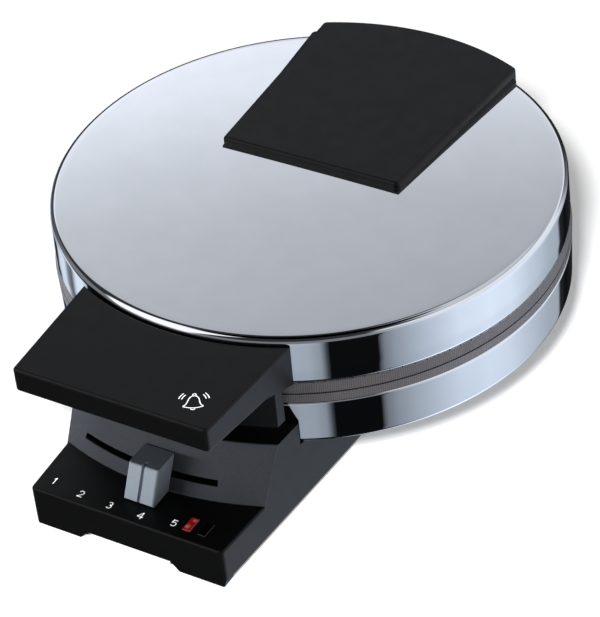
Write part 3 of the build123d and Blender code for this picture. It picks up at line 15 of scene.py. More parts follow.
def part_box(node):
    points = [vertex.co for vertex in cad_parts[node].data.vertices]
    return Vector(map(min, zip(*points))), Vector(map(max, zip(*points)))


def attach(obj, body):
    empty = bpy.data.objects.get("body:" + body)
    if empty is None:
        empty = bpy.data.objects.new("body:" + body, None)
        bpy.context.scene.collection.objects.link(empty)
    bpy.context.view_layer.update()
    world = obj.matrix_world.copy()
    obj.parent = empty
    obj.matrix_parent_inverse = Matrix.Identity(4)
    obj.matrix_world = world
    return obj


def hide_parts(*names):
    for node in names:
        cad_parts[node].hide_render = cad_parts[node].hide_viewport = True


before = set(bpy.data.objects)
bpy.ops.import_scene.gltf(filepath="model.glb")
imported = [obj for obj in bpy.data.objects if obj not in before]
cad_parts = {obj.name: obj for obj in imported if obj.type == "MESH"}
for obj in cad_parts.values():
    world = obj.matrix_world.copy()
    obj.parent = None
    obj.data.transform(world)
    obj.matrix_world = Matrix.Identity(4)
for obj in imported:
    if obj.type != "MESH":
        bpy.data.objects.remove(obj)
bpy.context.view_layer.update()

mm = 0.001
plate_low, plate_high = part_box("lower_plate")
plate_r = (plate_high.x - plate_low.x) / 2
axis_y = plate_high.y - plate_r
parting_z = plate_high.z
print("plates", round(plate_r / mm, 2), "mm in radius, axis at y =", round(axis_y / mm, 2), "mm")


# %% [markdown]
# The picture was taken from the front right and from above, with a long lens,
# and the camera was turned a few degrees on its own axis.
# A camera could be pointed with a constraint. Here its three directions are worked out
# from azimuth, elevation and roll, because they are the numbers a photographer would name.
# They were fitted to the round rims and to the corners of the panel and the handle.

# %% Camera
camera_place = Vector((0.469248, -0.706227, 0.688346))
camera_azimuth = 0.588507     # radians to the right of the front
camera_elevation = 0.667755
camera_roll = -0.104654
focal_pixels = 2761.27
image_height = 617            # pixels
sensor = 36.0                 # mm, the longer side of the picture
view_reach = 20.0             # metres


def camera_turn(azimuth, elevation, roll):
    """The camera's rotation. It looks against `back`, and roll turns its right and up."""
    back = Vector((math.sin(azimuth) * math.cos(elevation),
                   -math.cos(azimuth) * math.cos(elevation), math.sin(elevation)))
    right = Vector((math.cos(azimuth), math.sin(azimuth), 0.0))
    up = back.cross(right)
    rolled_right = math.cos(roll) * right + math.sin(roll) * up
    rolled_up = math.cos(roll) * up - math.sin(roll) * right
    return Matrix((rolled_right, rolled_up, back)).transposed().to_4x4()


camera_data = bpy.data.cameras.new("camera")
camera_data.sensor_width = sensor
camera_data.lens = focal_pixels / image_height * sensor
camera_data.clip_end = view_reach
camera = bpy.data.objects.new("camera", camera_data)
camera.matrix_world = (Matrix.Translation(camera_place)
                       @ camera_turn(camera_azimuth, camera_elevation, camera_roll))
bpy.context.scene.collection.objects.link(camera)
bpy.context.scene.camera = camera
print("lens", round(camera_data.lens, 1), "mm")


# %% [markdown]
# Materials are graphs of shader nodes. Wiring each one by hand takes many lines,
# so one helper adds a node and fills its sockets, with plain values or with links.

# %% Node helper
def node(tree, kind, inputs=(), **settings):
    """Adds one shader node. A socket gets a value, or a link where the value is a socket."""
    made = tree.nodes.new("ShaderNode" + kind)
    for name, value in settings.items():
        setattr(made, name, value)
    for socket, value in dict(inputs).items():
        if isinstance(value, bpy.types.NodeSocket):
            tree.links.new(value, made.inputs[socket])
        else:
            made.inputs[socket].default_value = value
    return made


def math_node(tree, operation, first, second=0.0):
    """The output of a Math node."""
    return node(tree, "Math", {0: first, 1: second}, operation=operation).outputs[0]


def mix_colours(tree, share, first, second):
    """first where share is 0, second where it is 1. Each is a colour or a socket."""
    return node(tree, "Mix", {0: share, 6: first, 7: second}, data_type="RGBA").outputs[2]


def grey(level):
    """A neutral colour of one brightness."""
    return (level, level, level, 1.0)


# %% [markdown]
# The studio. Polished steel has no colour of its own: it shows what stands around it.
# On such a picture that is a white tent with black cards, which give the walls their
# crisp black strips, and a ceiling that falls from white at the back to grey overhead.
# Real cards could be modelled, but then they would also shade the lamps and the floor.
# A world that only mirror-like rays see does the same, and the rest of the light stays plain.

# %% World directions
world = bpy.data.worlds.new("studio")
world.use_nodes = True
world.cycles.sampling_method = "NONE"
bpy.context.scene.world = world
sky = world.node_tree
sky.nodes.clear()

glance = node(sky, "TexCoord").outputs["Generated"]
direction = node(sky, "SeparateXYZ", {0: glance})
azimuth = math_node(sky, "ARCTAN2", direction.outputs[0],
                    math_node(sky, "MULTIPLY", direction.outputs[1], -1.0))
azimuth_share = math_node(sky, "ADD", math_node(sky, "DIVIDE", azimuth, 2 * math.pi), 0.5)
azimuth_degrees = math_node(sky, "DIVIDE", azimuth, math.radians(1))
elevation = math_node(sky, "DIVIDE", math_node(sky, "ARCSINE", direction.outputs[2]),
                      math.radians(1))
print("world nodes for the direction of a ray", len(sky.nodes))


# %% [markdown]
# A light that changes round the walls or up the ceiling is a row of stops: a direction and
# a brightness each. Pictures of a studio would do too, but stops are few and easy to move.

# %% World helpers
def ramp(tree, share, stops):
    """A colour ramp from (place, colour) stops, read at share."""
    made = node(tree, "ValToRGB", {0: share})
    band = made.color_ramp
    while len(band.elements) > 1:
        band.elements.remove(band.elements[-1])
    band.elements[0].position, band.elements[0].color = stops[0]
    for place, colour in stops[1:]:
        band.elements.new(place).color = colour
    return made.outputs[0]


def tinted(level, cast):
    """A brightness with a colour cast."""
    return tuple(level * part for part in cast) + (1.0,)


def round_the_walls(lights, cast):
    """Light by azimuth, from (degrees to the right of the front, brightness) pairs."""
    return ramp(sky, azimuth_share, [(place / 360 + 0.5, tinted(level, cast))
                                     for place, level in lights])


def up_the_ceiling(lights, cast):
    """Light by elevation, from (degrees, brightness) pairs."""
    return ramp(sky, math_node(sky, "DIVIDE", elevation, 90.0),
                [(place / 90, tinted(level, cast)) for place, level in lights])


def blend(share, first, second):
    """The first light where share is 0, the second where it is 1."""
    return mix_colours(sky, share, first, second)


def rise(value, start, end, low=0.0, high=1.0):
    """A soft step from low to high, as value goes from start to end."""
    return node(sky, "MapRange", {0: value, 1: start, 2: end, 3: low, 4: high},
                interpolation_type="SMOOTHSTEP").outputs[0]


def scaled(light, factor):
    """A light made brighter or darker by a factor."""
    return node(sky, "VectorMath", {0: light, "Scale": factor}, operation="SCALE").outputs[0]


# %% [markdown]
# Seen from above, the upright steel walls show the cards below eye level. The lid is
# nearly flat and shows the ceiling behind the object. Its rounded rim shows everything in
# between, squeezed into a few millimetres.

# %% What stands in the studio
# The cards and walls below eye level, which the upright steel walls show.
blue_cast = (0.865, 0.975, 1.115)
low_lights = [
    (-180, 0.004), (-152, 0.02), (-140, 0.03), (-136, 0.50), (-133.5, 0.45), (-131.5, 0.01),
    (-125, 0.02), (-121, 0.55), (-113, 0.66), (-108.5, 0.22), (-104, 0.10), (-99, 0.74),
    (-92, 0.80), (-84, 0.02), (4, 0.02), (12, 0.30), (20, 0.43), (26, 0.41), (31, 0.32),
    (34.5, 0.004), (56.8, 0.004), (58.2, 0.20), (64, 0.34), (78, 0.55), (95, 0.79),
    (112, 0.88), (126, 0.81), (140, 0.62), (158, 0.43), (168.5, 0.39), (171, 0.02), (180, 0.004),
]
# The tent's walls at eye level: dim at the front, dark behind, bright at the right.
level_lights = [
    (-180, 0.02), (-150, 0.03), (-118, 0.05), (-100, 0.10), (-84, 0.20), (50, 0.20),
    (60, 0.45), (78, 0.86), (150, 0.86), (165, 0.20), (180, 0.02),
]
# The floor beyond the object's right side, which only the rough black plastic shows.
under_lights = [(-180, 0.01), (70, 0.01), (100, 1.3), (165, 1.3), (180, 0.01)]
# The ceiling, and what hangs over it: black, but for the part above the right and the back.
ceiling_cast = (0.950, 0.985, 1.048)
ceiling_lights = [(0, 0.60), (22, 0.88), (29, 0.95), (31.5, 0.86), (34, 0.68), (37, 0.545),
                  (41, 0.475), (44, 0.43), (90, 0.43)]
overhead_lights = [(-180, 0.62), (-164, 0.55), (-158, 0.03), (82, 0.03), (94, 0.62),
                   (180, 0.62)]
overhead_top = 68.0           # degrees, where everything ends in black
ceiling_left, ceiling_right = -116.0, 56.0      # the front between them has a black ceiling
ceiling_left_soft, ceiling_right_soft = 4.0, 5.0      # half the width of its two edges
front_ceiling = 0.03
# One long soft box at the front left draws the white line on the lid's front rim.
# Its left edge leans: it lies at box_left at eye level and moves left by box_lean per degree.
box_light = 1.1
box_left, box_lean, box_right = -50.0, 0.6, -20.0
box_low, box_high = 5.0, 65.0
edge_soft = 3.0               # half the width of the box's and the ceiling's soft edges
# Elevations between which one layer fades into the next, from the first to the second.
under_fade = (-45.0, -52.0)   # low walls, floor under them
level_fade = (-20.0, -8.0)    # low walls, walls at eye level
ceiling_fade = (23.0, 29.0)   # walls at eye level, ceiling
overhead_fade = (44.0, 47.0)  # ceiling, what hangs over it
# Where a layer gets brighter: two directions and the factors that hold there.
low_gain = (-46.0, -30.0, 0.88, 1.16)           # low walls, by elevation
back_gain = (-158.0, -136.0, 0.95, 1.10)        # ceiling, by azimuth
print("studio with", len(low_lights), "stops round the walls")


# %% [markdown]
# The layers are stacked from the floor upwards, and the soft box is laid over them last.

# %% World seen by reflections
low_light = scaled(round_the_walls(low_lights, blue_cast), rise(elevation, *low_gain))
low_light = blend(rise(elevation, *under_fade), low_light,
                  round_the_walls(under_lights, blue_cast))
walls = blend(rise(elevation, *level_fade), low_light,
              round_the_walls(level_lights, ceiling_cast))
back_light = scaled(up_the_ceiling(ceiling_lights, ceiling_cast),
                    rise(azimuth_degrees, *back_gain))
at_the_front = math_node(
    sky, "MULTIPLY",
    rise(azimuth_degrees, ceiling_left - ceiling_left_soft, ceiling_left + ceiling_left_soft),
    rise(azimuth_degrees, ceiling_right + ceiling_right_soft,
         ceiling_right - ceiling_right_soft))
ceiling = blend(at_the_front, back_light, grey(front_ceiling))
overhead = scaled(round_the_walls(overhead_lights, ceiling_cast),
                  rise(elevation, overhead_top + edge_soft, overhead_top - edge_soft))
ceiling = blend(rise(elevation, *overhead_fade), ceiling, overhead)
surroundings = blend(rise(elevation, *ceiling_fade), walls, ceiling)
leaning = math_node(sky, "ADD", azimuth_degrees,
                    math_node(sky, "MULTIPLY", elevation, box_lean))
in_the_box = rise(leaning, box_left - edge_soft, box_left + edge_soft)
for value, start, end in ((azimuth_degrees, box_right + edge_soft, box_right - edge_soft),
                          (elevation, box_low - edge_soft, box_low + edge_soft),
                          (elevation, box_high + edge_soft, box_high - edge_soft)):
    in_the_box = math_node(sky, "MULTIPLY", in_the_box, rise(value, start, end))
surroundings = blend(in_the_box, surroundings, grey(box_light))
print("soft box", box_high - box_low, "degrees high")


# %% [markdown]
# What a ray sees of the world depends on the ray. The camera sees white, as on a picture
# cut out for a catalogue. Mirror-like rays see the studio, and matt surfaces get a weak,
# even light. The lamps do the rest.

# %% World seen by each kind of ray
soft_light = 0.18
plain_colour = (0.96, 0.98, 1.0, 1.0)
tent_light = 1.45             # polished steel gives back only about two thirds of it
path = node(sky, "LightPath")
plain = node(sky, "Background", {0: plain_colour, 1: soft_light}).outputs[0]
mirrored = node(sky, "Background", {0: surroundings, 1: tent_light}).outputs[0]
white = node(sky, "Background", {0: grey(1.0), 1: 1.0}).outputs[0]
seen = node(sky, "MixShader", {0: path.outputs["Is Glossy Ray"], 1: plain,
                               2: mirrored}).outputs[0]
open_view = math_node(sky, "MAXIMUM", path.outputs["Is Camera Ray"],
                      path.outputs["Is Transmission Ray"])
seen = node(sky, "MixShader", {0: open_view, 1: seen, 2: white}).outputs[0]
node(sky, "OutputWorld", {0: seen})
print("matt surfaces get", soft_light, "and steel sees", tent_light, "times the studio")


# %% [markdown]
# The floor is a white sheet. A camera sees it as pure white, and the object's shadow
# stays on it as a soft grey. It could be lit until it clips, but then the object would
# be far too bright. So it glows a little for the camera alone, on top of its plain white.
# The lamps reach the far floor less, so the glow grows with the distance.

# %% Floor
floor_half = 3.0
corners = np.array([(-1, -1, 0), (1, -1, 0), (1, 1, 0), (-1, 1, 0)]) * floor_half
floor_mesh = bpy.data.meshes.new("floor")
floor_mesh.from_pydata(corners.tolist(), [], [(0, 1, 2, 3)])
floor = bpy.data.objects.new("floor", floor_mesh)
bpy.context.scene.collection.objects.link(floor)
floor.visible_glossy = False

floor_finish = bpy.data.materials.new("white_floor")
floor_finish.use_nodes = True
sheet = floor_finish.node_tree
sheet.nodes.clear()
sheet_white = 0.78
glow_near, glow_far = 0.30, 0.92          # the glow beside the object and far from it
reach_near, reach_far = 0.20, 0.75        # metres from the middle of the floor
away = node(sheet, "VectorMath", {0: node(sheet, "TexCoord").outputs["Object"]},
            operation="LENGTH").outputs[1]
glow_here = node(sheet, "MapRange", {0: away, 1: reach_near, 2: reach_far, 3: glow_near,
                                     4: glow_far}, interpolation_type="SMOOTHSTEP").outputs[0]
matt = node(sheet, "BsdfDiffuse", {0: grey(sheet_white)}).outputs[0]
glow = node(sheet, "Emission", {0: grey(1.0), 1: math_node(
    sheet, "MULTIPLY", node(sheet, "LightPath").outputs["Is Camera Ray"], glow_here)}).outputs[0]
node(sheet, "OutputMaterial", {0: node(sheet, "AddShader", {0: matt, 1: glow}).outputs[0]})
floor_mesh.materials.append(floor_finish)
print("floor", 2 * floor_half, "m wide")


# %% [markdown]
# Three lamps. The large one hangs high on the left and lights the black tops softly. The
# second is a long low strip at the front left. It opens up the control wall and the knob,
# which the handle shades from above. Both leave the floor out, so their wide shadows
# don't show. The third is small and stands just left of the camera and above it, and it
# lights the floor alone. Its shadow is the silhouette seen from there, so it peeps out as
# a narrow seam at the right and below, as on a catalogue picture. None of the lamps is
# seen in the steel.

# %% Lamps
def lamp(name, place, aim, width, height, power):
    """A soft lamp of that size in metres at place, turned towards aim."""
    data = bpy.data.lights.new(name, "AREA")
    data.shape = "RECTANGLE"
    data.size, data.size_y = width, height
    data.energy = power
    made = bpy.data.objects.new(name, data)
    made.matrix_world = (Matrix.Translation(Vector(place)) @ (Vector(place) - Vector(aim))
                         .to_track_quat("Z", "Y").to_matrix().to_4x4())
    made.visible_camera = False
    made.visible_glossy = False
    bpy.context.scene.collection.objects.link(made)
    return made


object_middle = (0.0, 0.0, 0.04)
panel_middle = (0.0, -0.11, 0.05)
key_lamp = lamp("key_lamp", (-0.45, 0.15, 1.65), object_middle,
                width=0.7, height=0.7, power=26.0)
strip_lamp = lamp("strip_lamp", (-0.72, -1.06, 0.055), panel_middle,
                  width=0.6, height=0.1, power=12.6)
seam_lamp = lamp("seam_lamp", (0.654, -1.454, 1.494), object_middle,
                 width=0.20, height=0.20, power=64.0)
# A lamp lights what is in its receiver collection, or all but what is excluded in it.
lit_by_seam = bpy.data.collections.new("floor_alone")
lit_by_rest = bpy.data.collections.new("no_floor")
for group in (lit_by_seam, lit_by_rest):
    group.objects.link(floor)
lit_by_rest.collection_objects[0].light_linking.link_state = "EXCLUDE"
seam_lamp.light_linking.receiver_collection = lit_by_seam
for other in (key_lamp, strip_lamp):
    other.light_linking.receiver_collection = lit_by_rest
print("lamps", [each.name for each in (key_lamp, strip_lamp, seam_lamp)])


# %% [markdown]
# The two skins are pressed and polished steel: a turned shape with a straight wall, a
# rounded rim and, on the lid, a very shallow dome. The CAD skins are cut into flat
# facets, and a mirror finish shows every one. So each skin is made again as a profile
# turned round the plate axis, with steps too fine to see.

# %% Turned surfaces
def arc(middle_r, middle_z, radius, start, end, steps):
    """Points (r, z) of an arc round (middle_r, middle_z), from start to end in degrees."""
    turn = np.radians(np.linspace(start, end, steps))
    return np.stack([middle_r + radius * np.cos(turn), middle_z + radius * np.sin(turn)], 1)


def run(start, end, steps):
    """Points (r, z) at even distances on a straight line from start to end."""
    share = np.linspace(0.0, 1.0, steps)[:, None]
    return (1 - share) * np.array(start) + share * np.array(end)


def add_mesh(name, points, faces, body, smooth=True):
    """Makes a piece at the origin from points in metres, and lets it ride on a body."""
    mesh = bpy.data.meshes.new(name)
    mesh.from_pydata(np.asarray(points, float).reshape(-1, 3).tolist(), [],
                     [list(map(int, face)) for face in faces])
    mesh.polygons.foreach_set("use_smooth", np.full(len(mesh.polygons), smooth))
    mesh.update()
    piece = bpy.data.objects.new(name, mesh)
    bpy.context.scene.collection.objects.link(piece)
    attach(piece, body)
    return piece


def turned(name, profile, turns, keep, body):
    """A profile of (r, z) in millimetres, turned round the plate axis.
    Its first point is on the axis and becomes the pole. Each point (r, z) goes to
    (r sin t, r cos t, z) for every turn t. keep says which cells of the grid stay."""
    radius, height = profile[1:, 0] * mm, profile[1:, 1] * mm
    ring = len(turns)
    x = radius[:, None] * np.sin(turns)
    y = axis_y + radius[:, None] * np.cos(turns)
    z = np.broadcast_to(height[:, None], x.shape)
    points = np.concatenate([[(0.0, axis_y, profile[0, 1] * mm)],
                             np.stack([x, y, z], 2).reshape(-1, 3)])
    row, column = np.meshgrid(np.arange(len(radius) - 1), np.arange(ring), indexing="ij")
    after = (column + 1) % ring
    cells = 1 + np.stack([row * ring + column, row * ring + after,
                          (row + 1) * ring + after, (row + 1) * ring + column], 2)
    middle_turn = turns + (np.roll(turns, -1) - turns) % (2 * np.pi) / 2
    stays = keep((height[:-1] + height[1:])[:, None] / 2 / mm, middle_turn[None, :])
    first = np.arange(ring)
    fan = np.stack([np.zeros(ring, int), 1 + (first + 1) % ring, 1 + first], 1)
    return add_mesh(name, points, fan.tolist() + cells[stays].tolist(), body)


def everywhere(z, turn):
    """True in every cell of the grid."""
    return np.broadcast_to(True, np.broadcast_shapes(z.shape, turn.shape))


def faces_outwards(piece):
    """Turns all faces over if most of them look inwards: the sum of the products of each
    normal with the way from the middle to its face then is below zero."""
    mesh = piece.data
    middle = np.zeros(len(mesh.polygons) * 3)
    normal = np.zeros(len(mesh.polygons) * 3)
    mesh.polygons.foreach_get("center", middle)
    mesh.polygons.foreach_get("normal", normal)
    away = (middle.reshape(-1, 3) - (0.0, axis_y, parting_z)) * normal.reshape(-1, 3)
    if away.sum() < 0:
        mesh.flip_normals()
    return piece


def with_wall(piece, thickness):
    """Gives a skin its sheet thickness, inwards, with closed edges."""
    wall = piece.modifiers.new("sheet", "SOLIDIFY")
    wall.thickness = thickness
    wall.offset = -1.0
    wall.use_even_offset = True
    return piece


def crisp(piece, angle=30.0):
    """Edges sharper than angle stay crisp, all others are shaded smooth."""
    piece.data.set_sharp_from_angle(angle=math.radians(angle))
    return piece


# %% [markdown]
# The skins have to lie where the CAD has them, so their radii and heights are read from
# the CAD nodes. Only what a box can't tell, such as the rounding of the rims, is given.

# %% Sizes of the skins
def size_of(name):
    """Lowest and highest corner of a CAD node in millimetres, lengths along Y from the axis."""
    low, high = (np.array(corner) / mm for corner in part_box(name))
    low[1] -= axis_y / mm
    high[1] -= axis_y / mm
    return low, high


steel_t = 0.8                 # all lengths in this cell and the next two are in mm
lid_low, lid_high = size_of("upper_shell")
pan_low, pan_high = size_of("lower_shell")
lid_edge_r, pan_edge_r = lid_high[0], pan_high[0]
wall_step = 0.3               # both walls taper in by this
lid_corner_r, pan_corner_r = 2.5, 2.0           # rounded rims
dome_rise = 1.5               # the lid's middle above its rim
turn_steps = 720
around = np.linspace(0.0, 2 * np.pi, turn_steps + 1)[:-1]
print("lid", np.round(lid_low, 2), np.round(lid_high, 2))
print("pan", np.round(pan_low, 2), np.round(pan_high, 2))


# %% [markdown]
# The upper skin is a shallow dome, a rounded rim and a wall. Two slots at the back of the
# wall let the hinge arms through. They could be cut with a boolean, but on a turned grid
# it is cleaner to leave the cells out and to put grid lines on the slots' edges.

# %% Upper skin
arm_gap_in, arm_gap_out = 14.2, 25.8            # from the middle, to both sides
arm_gap_top = 61.6            # height
dome_steps = 40
rim_z = lid_high[2] - dome_rise
lid_wall_r = lid_edge_r - wall_step
corner_mid_r, corner_mid_z = lid_wall_r - lid_corner_r, rim_z - lid_corner_r
dome_r = (corner_mid_r ** 2 + dome_rise ** 2) / (2 * dome_rise)
dome_tilt = math.degrees(math.asin(corner_mid_r / dome_r))
dome_place = corner_mid_r * np.linspace(0.0, 1.0, dome_steps)
dome_height = lid_high[2] - dome_r + np.sqrt(dome_r ** 2 - dome_place ** 2)
lid_profile = np.concatenate([
    np.stack([dome_place, dome_height], 1),
    arc(corner_mid_r, corner_mid_z, lid_corner_r, 90 - dome_tilt, 0, steps=14)[1:],
    run((lid_wall_r, corner_mid_z), (lid_edge_r, arm_gap_top), steps=12)[1:],
    run((lid_edge_r, arm_gap_top), (lid_edge_r, lid_low[2]), steps=5)[1:],
])
gap_turns = np.arcsin(np.array([arm_gap_in, arm_gap_out]) / lid_edge_r)
lid_turns = np.unique(np.round(np.concatenate([around, gap_turns, 2 * np.pi - gap_turns]), 6))


def outside_arm_gaps(z, turn):
    """False in the two openings at the back through which the hinge arms pass."""
    sideways = np.abs(lid_edge_r * np.sin(turn))
    return ~((np.cos(turn) > 0) & (sideways > arm_gap_in) & (sideways < arm_gap_out)
             & (z < arm_gap_top))


lid_skin = turned("lid_skin", lid_profile, lid_turns, outside_arm_gaps, "lid")
with_wall(crisp(faces_outwards(lid_skin)), steel_t * mm)
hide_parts("upper_shell")
print("lid_skin", len(lid_skin.data.polygons), "faces")


# %% [markdown]
# The lower skin is a pan: a flat bottom, a rounded lower rim and a wall up to the seam.

# %% Lower skin
pan_wall_r = pan_edge_r - wall_step
pan_mid_r, pan_mid_z = pan_wall_r - pan_corner_r, pan_low[2] + pan_corner_r
pan_profile = np.concatenate([
    run((0.0, pan_low[2]), (pan_mid_r, pan_low[2]), steps=8),
    arc(pan_mid_r, pan_mid_z, pan_corner_r, -90, 0, steps=12)[1:],
    run((pan_wall_r, pan_mid_z), (pan_edge_r, pan_high[2]), steps=14)[1:],
])
pan_skin = turned("pan_skin", pan_profile, around, everywhere, "base")
with_wall(crisp(faces_outwards(pan_skin)), steel_t * mm)
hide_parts("lower_shell")
print("pan_skin", len(pan_skin.data.polygons), "faces")


# %% [markdown]
# Finishes. Every material starts the same way: a fine noise on the piece's own
# coordinates mixes two close colours, another moves the roughness a little, and the
# first also lifts the surface by a hair. What differs is the scale and the amount,
# as it does between a moulded plastic, a rolled sheet and a casting.

# %% Finish helper
fine_detail, broad_detail = 3.0, 2.0
broad_scale = 0.08            # the cloudy noise's scale, as a share of the fine one's
fine_low, fine_high = 0.3, 0.7                  # the middle part of each noise,
broad_low, broad_high = 0.35, 0.65              # which is spread over the full range


def finish(slot, colours, grain, roughness, lift=0.0, stretch=(1.0, 1.0, 1.0), patch=None,
           dull=None, **sockets):
    """A material in the colour of a slot. colours and roughness are (low, high) pairs,
    grain is the size of a speck in metres, lift the height of the grain in metres,
    stretch draws the grain out along an axis, and sockets go onto the shader.
    patch is (where, paint): functions of the tree that give a share and a colour.
    dull is (where, roughness): a share and the roughness that it leads to."""
    made = bpy.data.materials.new(slot)
    made.use_nodes = True
    tree = made.node_tree
    tree.nodes.clear()
    place = node(tree, "Mapping", {0: node(tree, "TexCoord").outputs["Object"], 3: stretch})
    fine = node(tree, "TexNoise", {0: place.outputs[0], "Scale": 1 / grain,
                                   "Detail": fine_detail})
    broad = node(tree, "TexNoise", {0: place.outputs[0], "Scale": broad_scale / grain,
                                    "Detail": broad_detail})
    speck = node(tree, "MapRange", {0: fine.outputs[0], 1: fine_low, 2: fine_high}).outputs[0]
    cloud = node(tree, "MapRange", {0: broad.outputs[0], 1: broad_low, 2: broad_high,
                                    3: roughness[0], 4: roughness[1]}).outputs[0]
    colour = mix_colours(tree, speck, *colours)
    if patch:
        where, paint = patch
        colour = mix_colours(tree, where(tree), colour, paint(tree))
    if dull:
        where, duller = dull
        cloud = node(tree, "Mix", {0: where(tree), 2: cloud, 3: duller}).outputs[0]
    shader = node(tree, "BsdfPrincipled", {"Base Color": colour, "Roughness": cloud})
    if lift:
        bump = node(tree, "Bump", {"Height": fine.outputs[0], "Distance": lift, "Strength": 1.0})
        tree.links.new(bump.outputs[0], shader.inputs["Normal"])
    for name, value in sockets.items():
        shader.inputs[name.replace("_", " ")].default_value = value
    node(tree, "OutputMaterial", {0: shader.outputs[0]})
    return made


def rgb(red, green, blue):
    """A colour given as it looks on a screen, 0 to 255, turned into light."""
    parts = [part / 255 for part in (red, green, blue)]
    return tuple(part / 12.92 if part <= 0.04045 else ((part + 0.055) / 1.055) ** 2.4
                 for part in parts) + (1.0,)


# %% [markdown]
# Some finishes change within one piece: on the curved control wall, or on a plate's rim.
# A mask could be painted on the mesh. Here it comes from where a point lies round the
# plate axis, so that it holds for any mesh of the piece.

# %% Round coordinates
def round_place(tree):
    """Distance from the plate axis, height and angle from the front, for every point."""
    place = node(tree, "SeparateXYZ", {0: node(tree, "TexCoord").outputs["Object"]})
    back = math_node(tree, "SUBTRACT", place.outputs[1], axis_y)
    squares = math_node(tree, "ADD", math_node(tree, "POWER", place.outputs[0], 2.0),
                        math_node(tree, "POWER", back, 2.0))
    angle = math_node(tree, "ARCTAN2", place.outputs[0], math_node(tree, "MULTIPLY", back, -1.0))
    return math_node(tree, "SQRT", squares), place.outputs[2], angle


def between(tree, value, low, high):
    """1 where value is between low and high, 0 elsewhere."""
    return math_node(tree, "MULTIPLY", math_node(tree, "GREATER_THAN", value, low),
                     math_node(tree, "LESS_THAN", value, high))


# %% [markdown]
# The housing is one moulding, but the curved wall behind the slider is not as smooth as
# the rest. Such a fine dull grain comes from an eroded mould. The sheen it catches is
# painted into its colour as a lighter grey, besides its higher roughness.
# The wall is a piece of a cone, so a point is on it where its distance from the plate
# axis fits its height.

# %% Control wall
panel_z = 17.5 * mm           # height of the panel, where the wall starts
cone_r = 123.0 * mm           # the wall's distance from the plate axis there
cone_slope = 0.5194           # by how much it gets less for each metre of height
tower_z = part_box("base_housing")[1].z
wall_skin = 0.4 * mm          # how far off the cone a point may be
# Much lighter than the black housing: the sheen of the grain, painted into the colour.
grain_and_painted_sheen_colours = (rgb(64, 67, 72), rgb(69, 72, 77))
dull_grain = 0.9 * mm
dull_roughness = 0.62


def on_control_wall(tree):
    """1 on the cone behind the slider, 0 elsewhere on the housing."""
    distance, height, _ = round_place(tree)
    cone = math_node(tree, "SUBTRACT", cone_r, math_node(
        tree, "MULTIPLY", math_node(tree, "SUBTRACT", height, panel_z), cone_slope))
    off = math_node(tree, "ABSOLUTE", math_node(tree, "SUBTRACT", distance, cone))
    return math_node(tree, "MULTIPLY", math_node(tree, "LESS_THAN", off, wall_skin),
                     between(tree, height, panel_z + wall_skin / 2, tower_z - wall_skin))


def grain_and_painted_sheen(tree):
    """Two close greys, mixed by a grain. They are much lighter than the black housing: painted
    sheen.
    """
    place = node(tree, "TexCoord").outputs["Object"]
    speck = node(tree, "TexNoise", {0: place, "Scale": 1 / dull_grain,
                                    "Detail": broad_detail}).outputs[0]
    share = node(tree, "MapRange", {0: speck, 1: broad_low, 2: broad_high}).outputs[0]
    return mix_colours(tree, share, *grain_and_painted_sheen_colours)


print("control wall from", round(panel_z / mm, 1), "mm to", round(tower_z / mm, 1), "mm")


# %% [markdown]
# The plates are cast aluminium with a dark coating. Their rims, which show between the
# two skins, are turned afterwards and carry fine upright ticks from the tool.

# %% Plate rims
tick_pitch = 0.8 * mm
rim_skin = 1.0 * mm           # how deep the rim's finish reaches into the plate
tick_light, tick_dark = rgb(132, 128, 130), rgb(106, 102, 104)
jitter_size, jitter_turns = 3.0 * mm, 9.0       # size of the noise, and its effect


def on_plate_rim(tree):
    """1 on the outer rim of a plate, 0 on its faces."""
    return math_node(tree, "GREATER_THAN", round_place(tree)[0], plate_r - rim_skin)


def tick_paint(tree):
    """Light and dark ticks by the angle round the plate, blurred by a noise."""
    angle = round_place(tree)[2]
    place = node(tree, "TexCoord").outputs["Object"]
    jitter = node(tree, "TexNoise", {0: place, "Scale": 1 / jitter_size}).outputs[0]
    turns = math_node(tree, "MULTIPLY", angle, 2 * math.pi * plate_r / tick_pitch)
    wave = math_node(tree, "SINE", math_node(tree, "ADD", turns, math_node(
        tree, "MULTIPLY", jitter, jitter_turns)))
    share = node(tree, "MapRange", {0: wave, 1: -1.0, 2: 1.0}).outputs[0]
    return mix_colours(tree, share, tick_dark, tick_light)


print("about", round(2 * math.pi * plate_r / tick_pitch), "ticks round a plate")


# %% [markdown]
# The red window is a lens of clear red plastic with a small lamp behind it. The lamp
# shows as two hot spots, one at each end, on a dark red body.

# %% Red window
red_low, red_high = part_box("red_lens")
red_middle = (red_low + red_high) / 2
hot_spots = [((-0.5, -1.5), 1.2), ((0.5, 2.2), 0.9)]     # place from the middle and size, mm
hot_edge, hot_core = rgb(236, 70, 62), rgb(255, 214, 204)


def lens_glow(tree):
    """The sum of round bell-shaped spots at the places of hot_spots."""
    place = node(tree, "TexCoord").outputs["Object"]
    glow_share = None
    for (right, back), size in hot_spots:
        middle = (red_middle.x + right * mm, red_middle.y + back * mm, red_high.z)
        away = node(tree, "VectorMath", {0: place, 1: middle}, operation="DISTANCE").outputs[1]
        squared = math_node(tree, "POWER", math_node(tree, "DIVIDE", away, size * mm), 2.0)
        spot = math_node(tree, "EXPONENT", math_node(tree, "MULTIPLY", squared, -1.0))
        glow_share = spot if glow_share is None else math_node(tree, "ADD", glow_share, spot)
    return math_node(tree, "MINIMUM", glow_share, 1.0)


def hot_paint(tree):
    """Pink, as a lamp looks through red plastic."""
    return mix_colours(tree, lens_glow(tree), hot_edge, hot_core)


print("red window", [round(side / mm, 2) for side in red_high - red_low], "mm")


# %% [markdown]
# Every piece has a slot, which says what it is made of. Each slot gets one finish: its
# darker and its lighter colour, the size of a speck and its height in metres, and how
# rough it is at least and at most.

